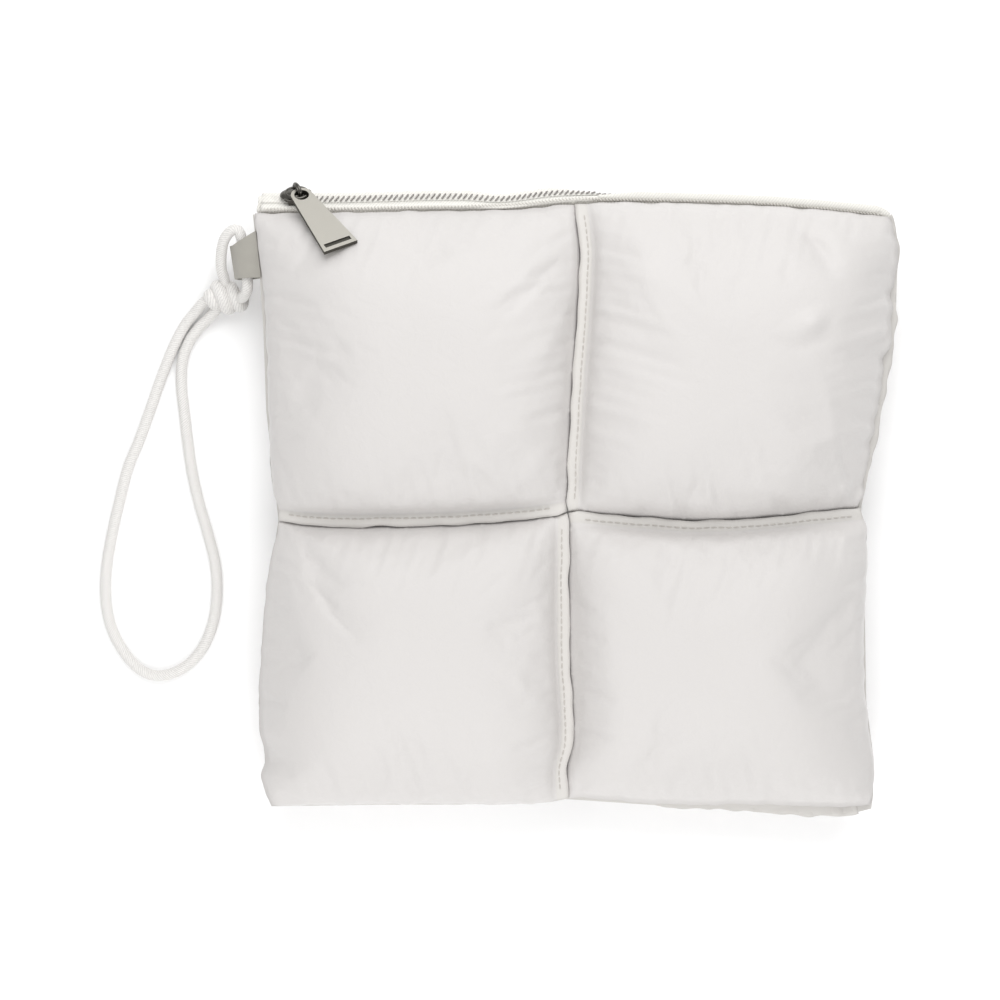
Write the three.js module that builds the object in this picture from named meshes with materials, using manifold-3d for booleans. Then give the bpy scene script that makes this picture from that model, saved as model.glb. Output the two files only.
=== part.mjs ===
// A puffy pouch of off-white padded strips in a 2 by 2 basket weave, with a zip and a wrist cord.
// It lies on its back: +Z points out of its front, +X to the right, +Y towards the zip. Millimetres.

import * as THREE from 'three';
import Module from 'manifold-3d';
import { mergeVertices } from 'three/addons/utils/BufferGeometryUtils.js';

const wasm = await Module();
wasm.setup();

// Pouch
const BAG_WIDTH = 276;
const BAG_HEIGHT = 276;
const FLANGE_HALF = 1.2;
const FLANGE_DEPTH = 6;
const MOUTH_HALF = 4;
const SWELL = 12;
const SWELL_REACH = 62;
const WALL = 1.4;

// Padded strips
const LAYER_GAP = 0.3;
const TONGUE = 1.2;
const SEAM_GAP = 0.6;
const MARGIN = 5;
const MARGIN_THICKNESS = 1.8;
const OUTER_MARGIN = 2;
const FRONT_CROWN = 19;
const BACK_CROWN = 16;
const BACK_DEPTH = 27;
const SHOULDER = 42;
const TONGUE_INSET = 8;

// Zip
const TAPE_THICKNESS = 0.6;
const TAPE_TUCK = 6;
const TAPE_END = 4;
const CHAIN_HALF = 2;
const CHAIN_THICKNESS = 1.2;
const TOOTH_PITCH = 7.2;
const TOOTH_LIFT = 0.5;
const TOOTH_REACH = 0.7;
const TOOTH_GAP = 0.35;
const TAPE_SPLIT_HALF = 1.3;
const TAPE_FLAT_HALF = 5;
const DIP_AT = -0.1;
const DIP_REACH = 0.26;

// Slider
const SLIDER_FROM_EDGE = 20.5;
const SLIDER_LENGTH = 12;
const SLIDER_WIDTH = 8.4;
const SLIDER_PLATE = 1.1;
const SLIDER_POST_WIDTH = 2;
const SLIDER_POST_LENGTH = 2.6;
const FIT_GAP = 0.4;
const CROWN_BORE = 1.7;
const CROWN_WIRE = 1.1;
const CROWN_WIDTH = 1.8;
const CROWN_SHIFT = 0.6;

// Puller
const PULLER_LENGTH = 38;
const PULLER_END_WIDTH = 16.4;
const PULLER_THICKNESS = 1.8;
const PULLER_TURN = 60;
const PULLER_DIP = 4;
const EYE_RADIUS = 3.3;
const EYE_RIM = 1.5;
const SLOT_LENGTH = 12.6;
const SLOT_WIDTH = 2.3;
const SLOT_DEPTH = 0.6;
const SLOT_FROM_END = 2;

// Side tab and cord
const TAB_WALL = 1.1;
const TAB_ROOT_GAP = 0.35;
const TAB_ROOM = 0.6;
const TAB_ROOT = 21;
const TAB_TIP = 15;
const TAB_REACH = 11;
const TAB_DROP = 7;
const TAB_AT = 0.84;
const TAB_SLANT = -3;
const CORD_DIAMETER = 5;
const CORD_SIDES = 8;
const KNOT_LENGTH = 21;
const KNOT_RADIUS = 7.4;

// The place of the weave's crossing point, and the height of the side seams above the floor
const CROSSING_X = 2.1;
const CROSSING_Y = -5.12;
const SEAM_HEIGHT = BACK_DEPTH;

const HALF_WIDTH = BAG_WIDTH / 2;
const HALF_HEIGHT = BAG_HEIGHT / 2;
const PAD_LIFT = LAYER_GAP + TONGUE + LAYER_GAP;

// Outlines. "at" runs along the edge as a share of the half height or half width, "out" is the distance from
// the crossing as a share of the other half size.
const LEFT_EDGE = [
  { at: 1.05, out: 1.03 },
  { at: 0.72, out: 0.995 },
  { at: 0.4, out: 0.983 },
  { at: 0.14, out: 0.966 },
  { at: -0.02, out: 0.94 },
  { at: -0.12, out: 0.966 },
  { at: -0.32, out: 0.988 },
  { at: -0.7, out: 1.006 },
  { at: -0.83, out: 0.985 },
  { at: -0.91, out: 0.998 },
  { at: -1.05, out: 0.94 },
];
const RIGHT_EDGE = [
  { at: 1.05, out: 1.03 },
  { at: 0.88, out: 1.08 },
  { at: 0.75, out: 1.066 },
  { at: 0.64, out: 1.072 },
  { at: 0.4, out: 1.037 },
  { at: 0.14, out: 0.985 },
  { at: 0.015, out: 0.957 },
  { at: -0.08, out: 0.98 },
  { at: -0.5, out: 0.968 },
  { at: -0.74, out: 0.985 },
  { at: -0.88, out: 1.004 },
  { at: -1.05, out: 0.985 },
];
const TOP_EDGE = [
  { at: -1.05, out: 0.97 },
  { at: -0.75, out: 0.97 },
  { at: -0.5, out: 0.975 },
  { at: -0.2, out: 0.98 },
  { at: 0, out: 0.998 },
  { at: 0.12, out: 1.004 },
  { at: 0.5, out: 0.996 },
  { at: 0.72, out: 0.985 },
  { at: 1.05, out: 0.955 },
];
const BOTTOM_EDGE = [
  { at: -1.05, out: 0.96 },
  { at: -0.5, out: 0.953 },
  { at: -0.1, out: 0.953 },
  { at: 0.02, out: 0.935 },
  { at: 0.3, out: 0.957 },
  { at: 0.6, out: 0.972 },
  { at: 0.88, out: 0.99 },
  { at: 1.05, out: 0.955 },
];

// How far the back panel's edge shows past the front pads
const LEFT_PEEK = [
  { at: 1.05, out: 0.006 },
  { at: 0.5, out: 0.012 },
  { at: 0, out: 0.004 },
  { at: -1.05, out: 0.004 },
];
const RIGHT_PEEK = [
  { at: 1.05, out: 0.02 },
  { at: 0.85, out: 0.042 },
  { at: 0.5, out: 0.04 },
  { at: 0.2, out: 0.015 },
  { at: 0, out: 0.006 },
  { at: -1.05, out: 0.006 },
];
const BOTTOM_PEEK = [
  { at: -1.05, out: 0.004 },
  { at: 0, out: 0.006 },
  { at: 0.4, out: 0.012 },
  { at: 0.85, out: 0.034 },
  { at: 1.05, out: 0.01 },
];
const NO_PEEK = [
  { at: -1.05, out: 0 },
  { at: 1.05, out: 0 },
];

// Seams between neighbouring pads: how far each strays from the straight line through the crossing
const UPPER_SEAM = [
  { at: 1.05, out: 0.022 },
  { at: 0.84, out: 0.044 },
  { at: 0.6, out: 0.032 },
  { at: 0.3, out: 0.012 },
  { at: 0, out: 0 },
];
const LOWER_SEAM = [
  { at: 0, out: 0 },
  { at: -0.45, out: 0 },
  { at: -0.78, out: 0.013 },
  { at: -0.9, out: -0.006 },
  { at: -1.05, out: 0.004 },
];
const LEFT_SEAM = [
  { at: -1.05, out: -0.02 },
  { at: -0.84, out: -0.041 },
  { at: -0.45, out: -0.038 },
  { at: -0.15, out: -0.02 },
  { at: 0, out: 0 },
];
const RIGHT_SEAM = [
  { at: 0, out: 0 },
  { at: 0.2, out: -0.018 },
  { at: 0.5, out: -0.032 },
  { at: 0.9, out: 0 },
  { at: 1.05, out: 0.016 },
];

// Dents and folds in the front pads. Places are shares of the half width and half height from the crossing,
// sizes are shares of the half width, the depth is a share of the front crown, and turn is in degrees.
const FRONT_DENTS = [
  { x: -0.86, y: 0.8, length: 0.2, width: 0.1, turn: 40, depth: 0.16 },
  { x: -0.1, y: 0.22, length: 0.2, width: 0.08, turn: 60, depth: 0.1 },
  { x: -0.45, y: 0.12, length: 0.3, width: 0.08, turn: 10, depth: 0.08 },
  { x: 0.78, y: 0.86, length: 0.16, width: 0.08, turn: -50, depth: 0.16 },
  { x: 0.88, y: 0.12, length: 0.2, width: 0.1, turn: 35, depth: 0.16 },
  { x: -0.86, y: -0.14, length: 0.16, width: 0.09, turn: -30, depth: 0.14 },
  { x: 0.86, y: -0.16, length: 0.14, width: 0.08, turn: -35, depth: 0.14 },
  { x: -0.14, y: -0.8, length: 0.18, width: 0.08, turn: -60, depth: 0.1 },
  { x: 0.2, y: -0.86, length: 0.18, width: 0.07, turn: 60, depth: 0.1 },
];

// Stations across a pad: a share of the way from its outer edge to the seam, plus millimetres
const PAD_STATIONS = [
  { share: 0, inset: 0 },
  { share: 0, inset: OUTER_MARGIN },
  { share: 0, inset: OUTER_MARGIN + 4 },
  { share: 0, inset: OUTER_MARGIN + 12 },
  { share: 0.22, inset: 0 },
  { share: 0.36, inset: 0 },
  { share: 0.5, inset: 0 },
  { share: 0.64, inset: 0 },
  { share: 0.78, inset: 0 },
  { share: 1, inset: -MARGIN - 12 },
  { share: 1, inset: -MARGIN - 4 },
  { share: 1, inset: -MARGIN },
  { share: 1, inset: -SEAM_GAP / 2 },
];
const BACK_STATIONS = [
  { share: 0, inset: 0 },
  { share: 0, inset: OUTER_MARGIN },
  { share: 0, inset: OUTER_MARGIN + 9 },
  { share: 0.34, inset: 0 },
  { share: 0.62, inset: 0 },
  { share: 1, inset: -MARGIN - 9 },
  { share: 1, inset: -MARGIN },
  { share: 1, inset: -SEAM_GAP / 2 },
];
const SHELL_STATIONS = [
  { share: 0, inset: 0 },
  { share: 0, inset: FLANGE_DEPTH },
  { share: 0.18, inset: 0 },
  { share: 0.36, inset: 0 },
  { share: 0.64, inset: 0 },
  { share: 1, inset: 0 },
];

// Where the zip runs. "out" is how far its middle lies past the mouth's edge and "up" how high above the side
// seams, both as shares of the mouth's half height, and "tilt" turns its face from straight up towards +Y.
const ZIP_LINE = [
  { at: -1.05, out: 1.5, up: 0.55, tilt: 45 },
  { at: -0.78, out: 1.5, up: 0.55, tilt: 45 },
  { at: -0.6, out: 1.5, up: 0.7, tilt: 45 },
  { at: -0.34, out: 1.5, up: 1, tilt: 45 },
  { at: -0.22, out: 1.15, up: 0.85, tilt: 50 },
  { at: -0.06, out: 1.3, up: 0.9, tilt: 50 },
  { at: 0.14, out: 0.9, up: 0.3, tilt: 78 },
  { at: 1.05, out: 0.9, up: 0.2, tilt: 84 },
];

// The route of the wrist cord on the floor, and of the short loop through the tab
const WRIST_CORD_ROUTE = [
  [-164.3, 90.7, 6.5],
  [-168, 86.7, 4.6],
  [-172.3, 81.8, 3.1],
  [-175.6, 76.3, 2.7],
  [-179.5, 68, 2.7],
  [-184.1, 56, 2.7],
  [-188.9, 42.2, 2.7],
  [-194, 27.9, 2.7],
  [-199.3, 15, 2.7],
  [-203, 0.3, 2.7],
  [-206.4, -14.4, 2.7],
  [-209, -29.6, 2.7],
  [-209.6, -43.9, 2.7],
  [-207.4, -57.2, 2.7],
  [-202.1, -68.3, 2.7],
  [-194.7, -77, 2.7],
  [-186.9, -80.5, 2.7],
  [-178.1, -79.2, 2.7],
  [-170.3, -74.3, 2.7],
  [-163.9, -66, 2.7],
  [-159.7, -54.5, 2.7],
  [-158.3, -41.1, 2.7],
  [-159.2, -28.7, 2.7],
  [-162.5, -15.3, 2.7],
  [-166.6, -1.1, 2.7],
  [-169.8, 13.2, 2.7],
  [-171.9, 27.9, 2.7],
  [-173.5, 41.7, 2.7],
  [-174.7, 53.2, 2.7],
  [-174.2, 64.3, 2.7],
  [-171.1, 73, 2.8],
  [-166.8, 79, 3.4],
  [-162.8, 83, 4.6],
  [-159.8, 86, 6],
];
const TAB_CORD_ROUTE = [
  [-153.9, 100.7, 11.2],
  [-154.9, 105.3, 14.6],
  [-154.7, 111.3, 17.6],
  [-153.3, 117.4, 20.6],
  [-150.1, 121.7, 22.6],
  [-146.5, 122.2, 23],
  [-144.8, 118, 22.8],
  [-143.9, 111.8, 22.7],
  [-142.9, 105.4, 22.7],
  [-142.3, 99.6, 22.2],
  [-142.7, 95.4, 19.8],
  [-145, 92.7, 15.2],
];
const KNOT_CENTRE = [-153.5, 93.2, 8.4];
const KNOT_TURN = -14;

const radians = THREE.MathUtils.degToRad;

// A smooth value of one column of a table, at a place along its "at" column
function along(table, at, column = 'out') {
  const rows = [...table].sort((a, b) => a.at - b.at);
  const last = rows.length - 1;
  const place = Math.min(Math.max(at, rows[0].at), rows[last].at);
  let i = 0;
  while (i < last - 1 && place > rows[i + 1].at) {
    i += 1;
  }
  const slope = (k) => {
    const a = rows[Math.max(k - 1, 0)];
    const b = rows[Math.min(k + 1, last)];
    return (b[column] - a[column]) / (b.at - a.at);
  };
  const step = rows[i + 1].at - rows[i].at;
  const t = (place - rows[i].at) / step;
  const t2 = t * t;
  const t3 = t2 * t;
  const ends = (2 * t3 - 3 * t2 + 1) * rows[i][column] + (3 * t2 - 2 * t3) * rows[i + 1][column];
  return ends + step * ((t3 - 2 * t2 + t) * slope(i) + (t3 - t2) * slope(i + 1));
}

const outerX = (side, y) => side * HALF_WIDTH * along(side < 0 ? LEFT_EDGE : RIGHT_EDGE, y / HALF_HEIGHT);
const outerY = (side, x) => side * HALF_HEIGHT * along(side < 0 ? BOTTOM_EDGE : TOP_EDGE, x / HALF_WIDTH);
const seamX = (side, y) => HALF_WIDTH * along(side < 0 ? LOWER_SEAM : UPPER_SEAM, y / HALF_HEIGHT);
const seamY = (side, x) => HALF_HEIGHT * along(side < 0 ? LEFT_SEAM : RIGHT_SEAM, x / HALF_WIDTH);
const peekX = (side, y) => HALF_WIDTH * along(side < 0 ? LEFT_PEEK : RIGHT_PEEK, y / HALF_HEIGHT);
const peekY = (side, x) => HALF_HEIGHT * along(side < 0 ? BOTTOM_PEEK : NO_PEEK, x / HALF_WIDTH);

const clamp01 = (value) => Math.min(Math.max(value, 0), 1);
const ease = (distance) => 1 - (1 - clamp01(distance / SWELL_REACH)) ** 2;

// Half the pouch's outer thickness at a point: thin at the closed seams, open at the mouth, full in the middle
function swell(x, y) {
  const sides = ease(x - outerX(-1, y)) * ease(outerX(1, y) - x) * ease(y - outerY(-1, x));
  const mouth = ease(outerY(1, x) - y);
  const atMouth = (MOUTH_HALF - FLANGE_HALF) / SWELL;
  return FLANGE_HALF + SWELL * sides * (atMouth + (1 - atMouth) * mouth);
}

// A point of one quarter of the bag, from its two stations. sideX and sideY are -1 or 1.
function quarterPoint(sideX, sideY, across, up, peek) {
  const nominalX = sideX * (HALF_WIDTH * (1 - across.share) - across.inset);
  const nominalY = sideY * (HALF_HEIGHT * (1 - up.share) - up.inset);
  const edgeX = outerX(sideX, nominalY) - sideX * peek * peekX(sideX, nominalY);
  const edgeY = outerY(sideY, nominalX) - sideY * peek * peekY(sideY, nominalX);
  const x = edgeX + (seamX(sideY, nominalY) - edgeX) * across.share - sideX * across.inset;
  const y = edgeY + (seamY(sideX, nominalX) - edgeY) * up.share - sideY * up.inset;
  return [x, y];
}

// A closed solid over a grid of points: nodes[row][column] holds x, y, top and bottom
function slab(nodes) {
  const rows = nodes.length;
  const columns = nodes[0].length;
  const positions = [];
  for (const row of nodes) {
    for (const node of row) {
      positions.push(node.x, node.y, node.top, node.x, node.y, node.bottom);
    }
  }
  const top = (i, j) => 2 * (i * columns + j);
  const bottom = (i, j) => top(i, j) + 1;
  const faces = [];
  const quad = (a, b, c, d) => faces.push(a, b, c, a, c, d);
  for (let i = 0; i + 1 < rows; i += 1) {
    for (let j = 0; j + 1 < columns; j += 1) {
      quad(top(i, j), top(i, j + 1), top(i + 1, j + 1), top(i + 1, j));
      quad(bottom(i, j), bottom(i + 1, j), bottom(i + 1, j + 1), bottom(i, j + 1));
    }
  }
  const wall = (a, b) => quad(top(...b), top(...a), bottom(...a), bottom(...b));
  for (let j = 0; j + 1 < columns; j += 1) {
    wall([0, j], [0, j + 1]);
    wall([rows - 1, j + 1], [rows - 1, j]);
  }
  for (let i = 0; i + 1 < rows; i += 1) {
    wall([i + 1, 0], [i, 0]);
    wall([i, columns - 1], [i + 1, columns - 1]);
  }
  const geometry = new THREE.BufferGeometry();
  geometry.setAttribute('position', new THREE.Float32BufferAttribute(positions, 3));
  geometry.setIndex(faces);
  return geometry;
}

function solid(geometry) {
  const bare = geometry.clone();
  bare.deleteAttribute('normal');
  bare.deleteAttribute('uv');
  const merged = mergeVertices(bare, 1e-4);
  const vertProperties = new Float32Array(merged.attributes.position.array);
  const triVerts = new Uint32Array(merged.index.array);
  const made = new wasm.Manifold(new wasm.Mesh({ numProp: 3, vertProperties, triVerts }));
  if (made.volume() < 0) {
    throw new Error('a solid is inside out');
  }
  return made;
}

function surface(made) {
  const mesh = made.getMesh();
  const geometry = new THREE.BufferGeometry();
  geometry.setAttribute('position', new THREE.Float32BufferAttribute(mesh.vertProperties, 3));
  geometry.setIndex(Array.from(mesh.triVerts));
  geometry.computeVertexNormals();
  return geometry;
}

function named(name, geometry, material) {
  const mesh = new THREE.Mesh(geometry, material);
  mesh.name = name;
  return mesh;
}

// Grid of the whole pouch, drawn in by "inset" at its closed seams and pushed out past the mouth by "mouth"
function pouchGrid(inset, mouth, topOf) {
  const line = (side) => {
    const half = SHELL_STATIONS.map((station) => ({ side, ...station }));
    return side < 0 ? half : half.reverse().slice(1);
  };
  const lines = [...line(-1), ...line(1)];
  const shifted = (station, amount) => (station.share === 0 && station.inset === 0
    ? { ...station, inset: amount } : station);
  return lines.map((up) => lines.map((across) => {
    const upStation = shifted(up, up.side < 0 ? inset : -mouth);
    const [x, y] = quarterPoint(across.side, up.side, shifted(across, inset), upStation, 0);
    return { x, y, ...topOf(x, y) };
  }));
}

// Everything below the pouch's own outer surface, raised by "lift", out to "past" beyond the mouth's edge
function below(lift, sign, past = 14) {
  return solid(slab(pouchGrid(-14, past, (x, y) => {
    const level = swell(x, y) + lift;
    return sign > 0 ? { top: level, bottom: -BAG_WIDTH } : { top: BAG_WIDTH, bottom: -level };
  })));
}

function pouchShell() {
  const outer = solid(slab(pouchGrid(0, 0, (x, y) => ({ top: swell(x, y), bottom: -swell(x, y) }))));
  const hollow = solid(slab(pouchGrid(FLANGE_DEPTH - 0.5, 3, (x, y) => {
    const half = Math.max(swell(x, y) - WALL, 0.2);
    return { top: half, bottom: -half };
  })));
  return surface(outer.subtract(hollow));
}

// Height of a pad above its flat margin, as a share of its crown, at a distance from where it starts to rise
const rise = (distance) => (1 - (1 - clamp01(distance / SHOULDER)) ** 2.2) ** 0.6;

function dentAt(x, y) {
  let depth = 0;
  for (const dent of FRONT_DENTS) {
    const turn = radians(dent.turn);
    const dx = x - dent.x * HALF_WIDTH;
    const dy = y - dent.y * HALF_HEIGHT;
    const p = (dx * Math.cos(turn) + dy * Math.sin(turn)) / (dent.length * HALF_WIDTH);
    const q = (dy * Math.cos(turn) - dx * Math.sin(turn)) / (dent.width * HALF_WIDTH);
    depth += dent.depth * Math.exp(-2 * (p * p + q * q));
  }
  return depth;
}

// The quarters of the weave. A horizontal strip runs along X where it lies on top, and dives under the
// upright strip next to it.
const QUARTERS = [
  { name: 'top', sideX: -1, sideY: 1, horizontal: true },
  { name: 'right', sideX: 1, sideY: 1, horizontal: false },
  { name: 'bottom', sideX: 1, sideY: -1, horizontal: true },
  { name: 'left', sideX: -1, sideY: -1, horizontal: false },
];

function padNodes(quarter, face) {
  const { sideX, sideY, horizontal } = quarter;
  const peek = face.sign > 0 ? 1 : 0.3;
  const last = face.stations.length - 1;
  const points = face.stations.map((up) => face.stations.map((across) => (
    quarterPoint(sideX, sideY, across, up, peek))));
  const grid = points.map((row, i) => row.map(([x, y], j) => {
    const fromSide = Math.abs(x - points[i][0][0]);
    const fromEnd = Math.abs(y - points[0][j][1]);
    const toSeamX = Math.abs(points[i][last][0] - x);
    const toSeamY = Math.abs(points[last][j][1] - y);
    const acrossRise = rise(fromSide - (horizontal ? 0 : OUTER_MARGIN)) * rise(toSeamX - MARGIN);
    const upRise = rise(fromEnd - (horizontal ? OUTER_MARGIN : 0)) * rise(toSeamY - MARGIN);
    const dented = face.sign > 0 ? 1 - dentAt(x, y) : 1;
    const dives = horizontal ? j === last : i === last;
    const floor = swell(x, y) + (dives ? LAYER_GAP + TONGUE : PAD_LIFT + MARGIN_THICKNESS);
    const height = Math.min(floor + face.crown * acrossRise * upRise * dented, face.limit);
    return { x, y, height };
  }));
  return grid;
}

// A prism over part of a quarter, between two stations each way
function prism(sideX, sideY, across, up, peek) {
  const nodes = up.map((upStation) => across.map((acrossStation) => {
    const [x, y] = quarterPoint(sideX, sideY, acrossStation, upStation, peek);
    return { x, y, top: BAG_WIDTH / 2, bottom: -BAG_WIDTH / 2 };
  }));
  return solid(outward(slab(nodes)));
}

// Turns a geometry's faces so that they point out
function outward(geometry) {
  const at = geometry.attributes.position;
  const index = Array.from(geometry.index.array);
  const corners = [0, 1, 2].map(() => new THREE.Vector3());
  let volume = 0;
  for (let k = 0; k < index.length; k += 3) {
    corners.forEach((corner, n) => corner.fromBufferAttribute(at, index[k + n]));
    volume += corners[0].dot(corners[1].cross(corners[2]));
  }
  if (volume < 0) {
    for (let k = 0; k < index.length; k += 3) {
      [index[k], index[k + 1]] = [index[k + 1], index[k]];
    }
    geometry.setIndex(index);
  }
  return geometry;
}

const MIDDLE = { share: 0.5, inset: 0 };
const QUARTER_WAY = { share: 0.25, inset: 0 };
const DIVE = [
  { share: 1, inset: -MARGIN + 1 },
  { share: 1, inset: -SEAM_GAP / 2 },
];

// One strip: its pad, the edge that dives, and the tongue under the next strip
function strip(quarter, face) {
  const { sideX, sideY, horizontal } = quarter;
  const up = face.sign > 0;
  const nodes = padNodes(quarter, face).map((row) => row.map(({ x, y, height }) => (
    up ? { x, y, top: height, bottom: -1 } : { x, y, top: 1, bottom: -height })));
  const column = solid(outward(slab(nodes)));
  const pad = column.subtract(face.underPad);

  const wide = [{ share: 0, inset: TONGUE_INSET }, QUARTER_WAY, MIDDLE, { share: 1, inset: -MARGIN }];
  const peek = up ? 1 : 0.3;
  const dive = horizontal ? prism(sideX, sideY, DIVE, wide, peek) : prism(sideX, sideY, wide, DIVE, peek);
  const diving = column.intersect(dive).subtract(face.underTongue);

  const nextX = horizontal ? -sideX : sideX;
  const nextY = horizontal ? sideY : -sideY;
  const long = [{ share: 0, inset: TONGUE_INSET }, MIDDLE, { share: 1, inset: 1 }];
  const narrow = [{ share: 0, inset: TONGUE_INSET }, MIDDLE, { share: 1, inset: -MARGIN - 2 }];
  const under = horizontal ? prism(nextX, nextY, long, narrow, peek) : prism(nextX, nextY, narrow, long, peek);
  const tongue = under.intersect(face.overTongue).subtract(face.underTongue);
  return surface(pad.add(diving).add(tongue));
}

// Faces of the bag: the levels below a pad, above a tongue and below a tongue
function bagFace(sign, crown, limit, stations) {
  return {
    stations,
    sign,
    crown,
    limit,
    underPad: below(PAD_LIFT, sign),
    overTongue: below(LAYER_GAP + TONGUE, sign),
    underTongue: below(LAYER_GAP, sign),
  };
}

// The zip's cross-section at a place along X: its middle, the direction across it towards the front, and the
// levels at which a tape lies on the pouch at the mouth's edge and at its own hidden edge
function zipSection(x) {
  const at = x / HALF_WIDTH;
  const mouthY = outerY(1, x);
  const half = swell(x, mouthY);
  const tilt = radians(along(ZIP_LINE, at, 'tilt'));
  const across = new THREE.Vector2(-Math.cos(tilt), Math.sin(tilt));
  const middle = new THREE.Vector2(
    mouthY + along(ZIP_LINE, at, 'out') * MOUTH_HALF,
    along(ZIP_LINE, at, 'up') * MOUTH_HALF,
  );
  const onPouch = LAYER_GAP + TAPE_THICKNESS / 2;
  const tapeLevel = half + onPouch;
  const tuckLevel = swell(x, mouthY - TAPE_TUCK) + onPouch;
  return { x, mouthY, tapeLevel, tuckLevel, across, middle };
}

// The line that a tape follows in its cross-section, from inside the pouch to its toothed edge
function tapeLine(section, side) {
  const { mouthY, tapeLevel, tuckLevel, across, middle } = section;
  const level = side * tapeLevel;
  const flat = middle.clone().addScaledVector(across, side * TAPE_FLAT_HALF);
  const edge = middle.clone().addScaledVector(across, side * TAPE_SPLIT_HALF);
  const bend = side > 0 ? 1.2 : 3;
  const curve = new THREE.CubicBezierCurve(
    new THREE.Vector2(mouthY, level),
    new THREE.Vector2(mouthY + bend, level),
    flat.clone().addScaledVector(across, side * bend),
    flat,
  );
  const bends = side > 0 ? 3 : 4;
  return [new THREE.Vector2(mouthY - TAPE_TUCK, side * tuckLevel), ...curve.getPoints(bends), edge];
}

// A strip of constant thickness along X whose cross-section follows a line
function ribbon(sections, lineOf, lift, thickness) {
  const rows = sections.map((section) => {
    const line = lineOf(section);
    return line.map((point, k) => {
      const before = line[Math.max(k - 1, 0)];
      const after = line[Math.min(k + 1, line.length - 1)];
      const normal = new THREE.Vector2(-(after.y - before.y), after.x - before.x).normalize();
      const top = point.clone().addScaledVector(normal, lift + thickness / 2);
      const bottom = point.clone().addScaledVector(normal, lift - thickness / 2);
      return { x: section.x, top, bottom };
    });
  });
  const positions = [];
  for (const row of rows) {
    for (const { x, top, bottom } of row) {
      positions.push(x, top.x, top.y, x, bottom.x, bottom.y);
    }
  }
  const flat = slab(rows.map((row) => row.map(() => ({ x: 0, y: 0, top: 0, bottom: 0 }))));
  flat.setAttribute('position', new THREE.Float32BufferAttribute(positions, 3));
  return flat;
}

const zipStart = outerX(-1, HALF_HEIGHT) + TAPE_END;
const zipEnd = outerX(1, HALF_HEIGHT) - TAPE_END;
const sliderX = outerX(-1, HALF_HEIGHT) + SLIDER_FROM_EDGE;

const teethStart = sliderX + 0.6;
const toothCount = 2 * Math.floor((zipEnd - TAPE_END - teethStart) / TOOTH_PITCH / 2);

function zipTape(side) {
  const places = [zipStart, (zipStart + teethStart) / 2];
  for (let k = 0; k <= toothCount; k += 1) {
    const place = teethStart + k * TOOTH_PITCH;
    if (k % 2 === 0 || Math.abs(place / HALF_WIDTH - DIP_AT) < DIP_REACH) {
      places.push(place);
    }
  }
  const sections = [...places, zipEnd].map(zipSection);
  const tape = solid(outward(ribbon(sections, (section) => tapeLine(section, side), 0, TAPE_THICKNESS)));
  return surface(tape.subtract(below(LAYER_GAP, side, 0)));
}

// A row of teeth: the joint line between the two rows is a zigzag
function zipTeeth(side) {
  const sections = [];
  for (let k = 0; k <= 2 * toothCount; k += 1) {
    sections.push({ ...zipSection(teethStart + (k * TOOTH_PITCH) / 2), tip: k % 2 === 0 ? -1 : 1 });
  }
  const line = ({ middle, across, tip }) => {
    const joint = tip * TOOTH_REACH + (side * TOOTH_GAP) / 2;
    return [
      middle.clone().addScaledVector(across, side * CHAIN_HALF),
      middle.clone().addScaledVector(across, joint),
    ];
  };
  const lift = side * (TAPE_THICKNESS / 2 + TOOTH_LIFT + CHAIN_THICKNESS / 2);
  return ribbon(sections, line, lift, CHAIN_THICKNESS);
}

// A flat bar with round ends, in the slider's own frame: x along the zip, y across it, z out of its face
function plate(length, width, thickness, bottom, corner) {
  const shape = new THREE.Shape();
  const x = length / 2 - corner;
  const y = width / 2 - corner;
  shape.absarc(x, y, corner, 0, Math.PI / 2);
  shape.absarc(-x, y, corner, Math.PI / 2, Math.PI);
  shape.absarc(-x, -y, corner, Math.PI, 1.5 * Math.PI);
  shape.absarc(x, -y, corner, 1.5 * Math.PI, 2 * Math.PI);
  const geometry = new THREE.ExtrudeGeometry(shape, { depth: thickness, bevelEnabled: false, curveSegments: 3 });
  geometry.translate(0, 0, bottom);
  return geometry;
}

function box(width, depth, height, x, y, z) {
  const geometry = new THREE.BoxGeometry(width, depth, height);
  geometry.translate(x, y, z);
  return geometry;
}

const chainTop = TAPE_THICKNESS / 2 + TOOTH_LIFT + CHAIN_THICKNESS;
const topPlate = chainTop + FIT_GAP;
const sliderTop = topPlate + SLIDER_PLATE;
const bottomPlate = -TAPE_THICKNESS / 2 - FIT_GAP;
const hingeHeight = sliderTop + CROWN_BORE;

// The crown: an arch over the puller's eye rim, turned to stand across the hinge axis
function crown() {
  const outside = CROWN_BORE + CROWN_WIRE;
  const shape = new THREE.Shape();
  shape.moveTo(outside, -CROWN_BORE - 0.4);
  shape.lineTo(outside, 0);
  shape.absarc(0, 0, outside, 0, Math.PI);
  shape.lineTo(-outside, -CROWN_BORE - 0.4);
  shape.lineTo(-CROWN_BORE, -CROWN_BORE - 0.4);
  shape.lineTo(-CROWN_BORE, 0);
  shape.absarc(0, 0, CROWN_BORE, Math.PI, 0, true);
  shape.lineTo(CROWN_BORE, -CROWN_BORE - 0.4);
  const arch = new THREE.ExtrudeGeometry(shape, { depth: CROWN_WIDTH, bevelEnabled: false, curveSegments: 10 });
  arch.translate(0, 0, -CROWN_WIDTH / 2);
  arch.rotateX(Math.PI / 2);
  arch.rotateZ(radians(-PULLER_TURN));
  arch.translate(0, CROWN_SHIFT, hingeHeight);
  return arch;
}

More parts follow.
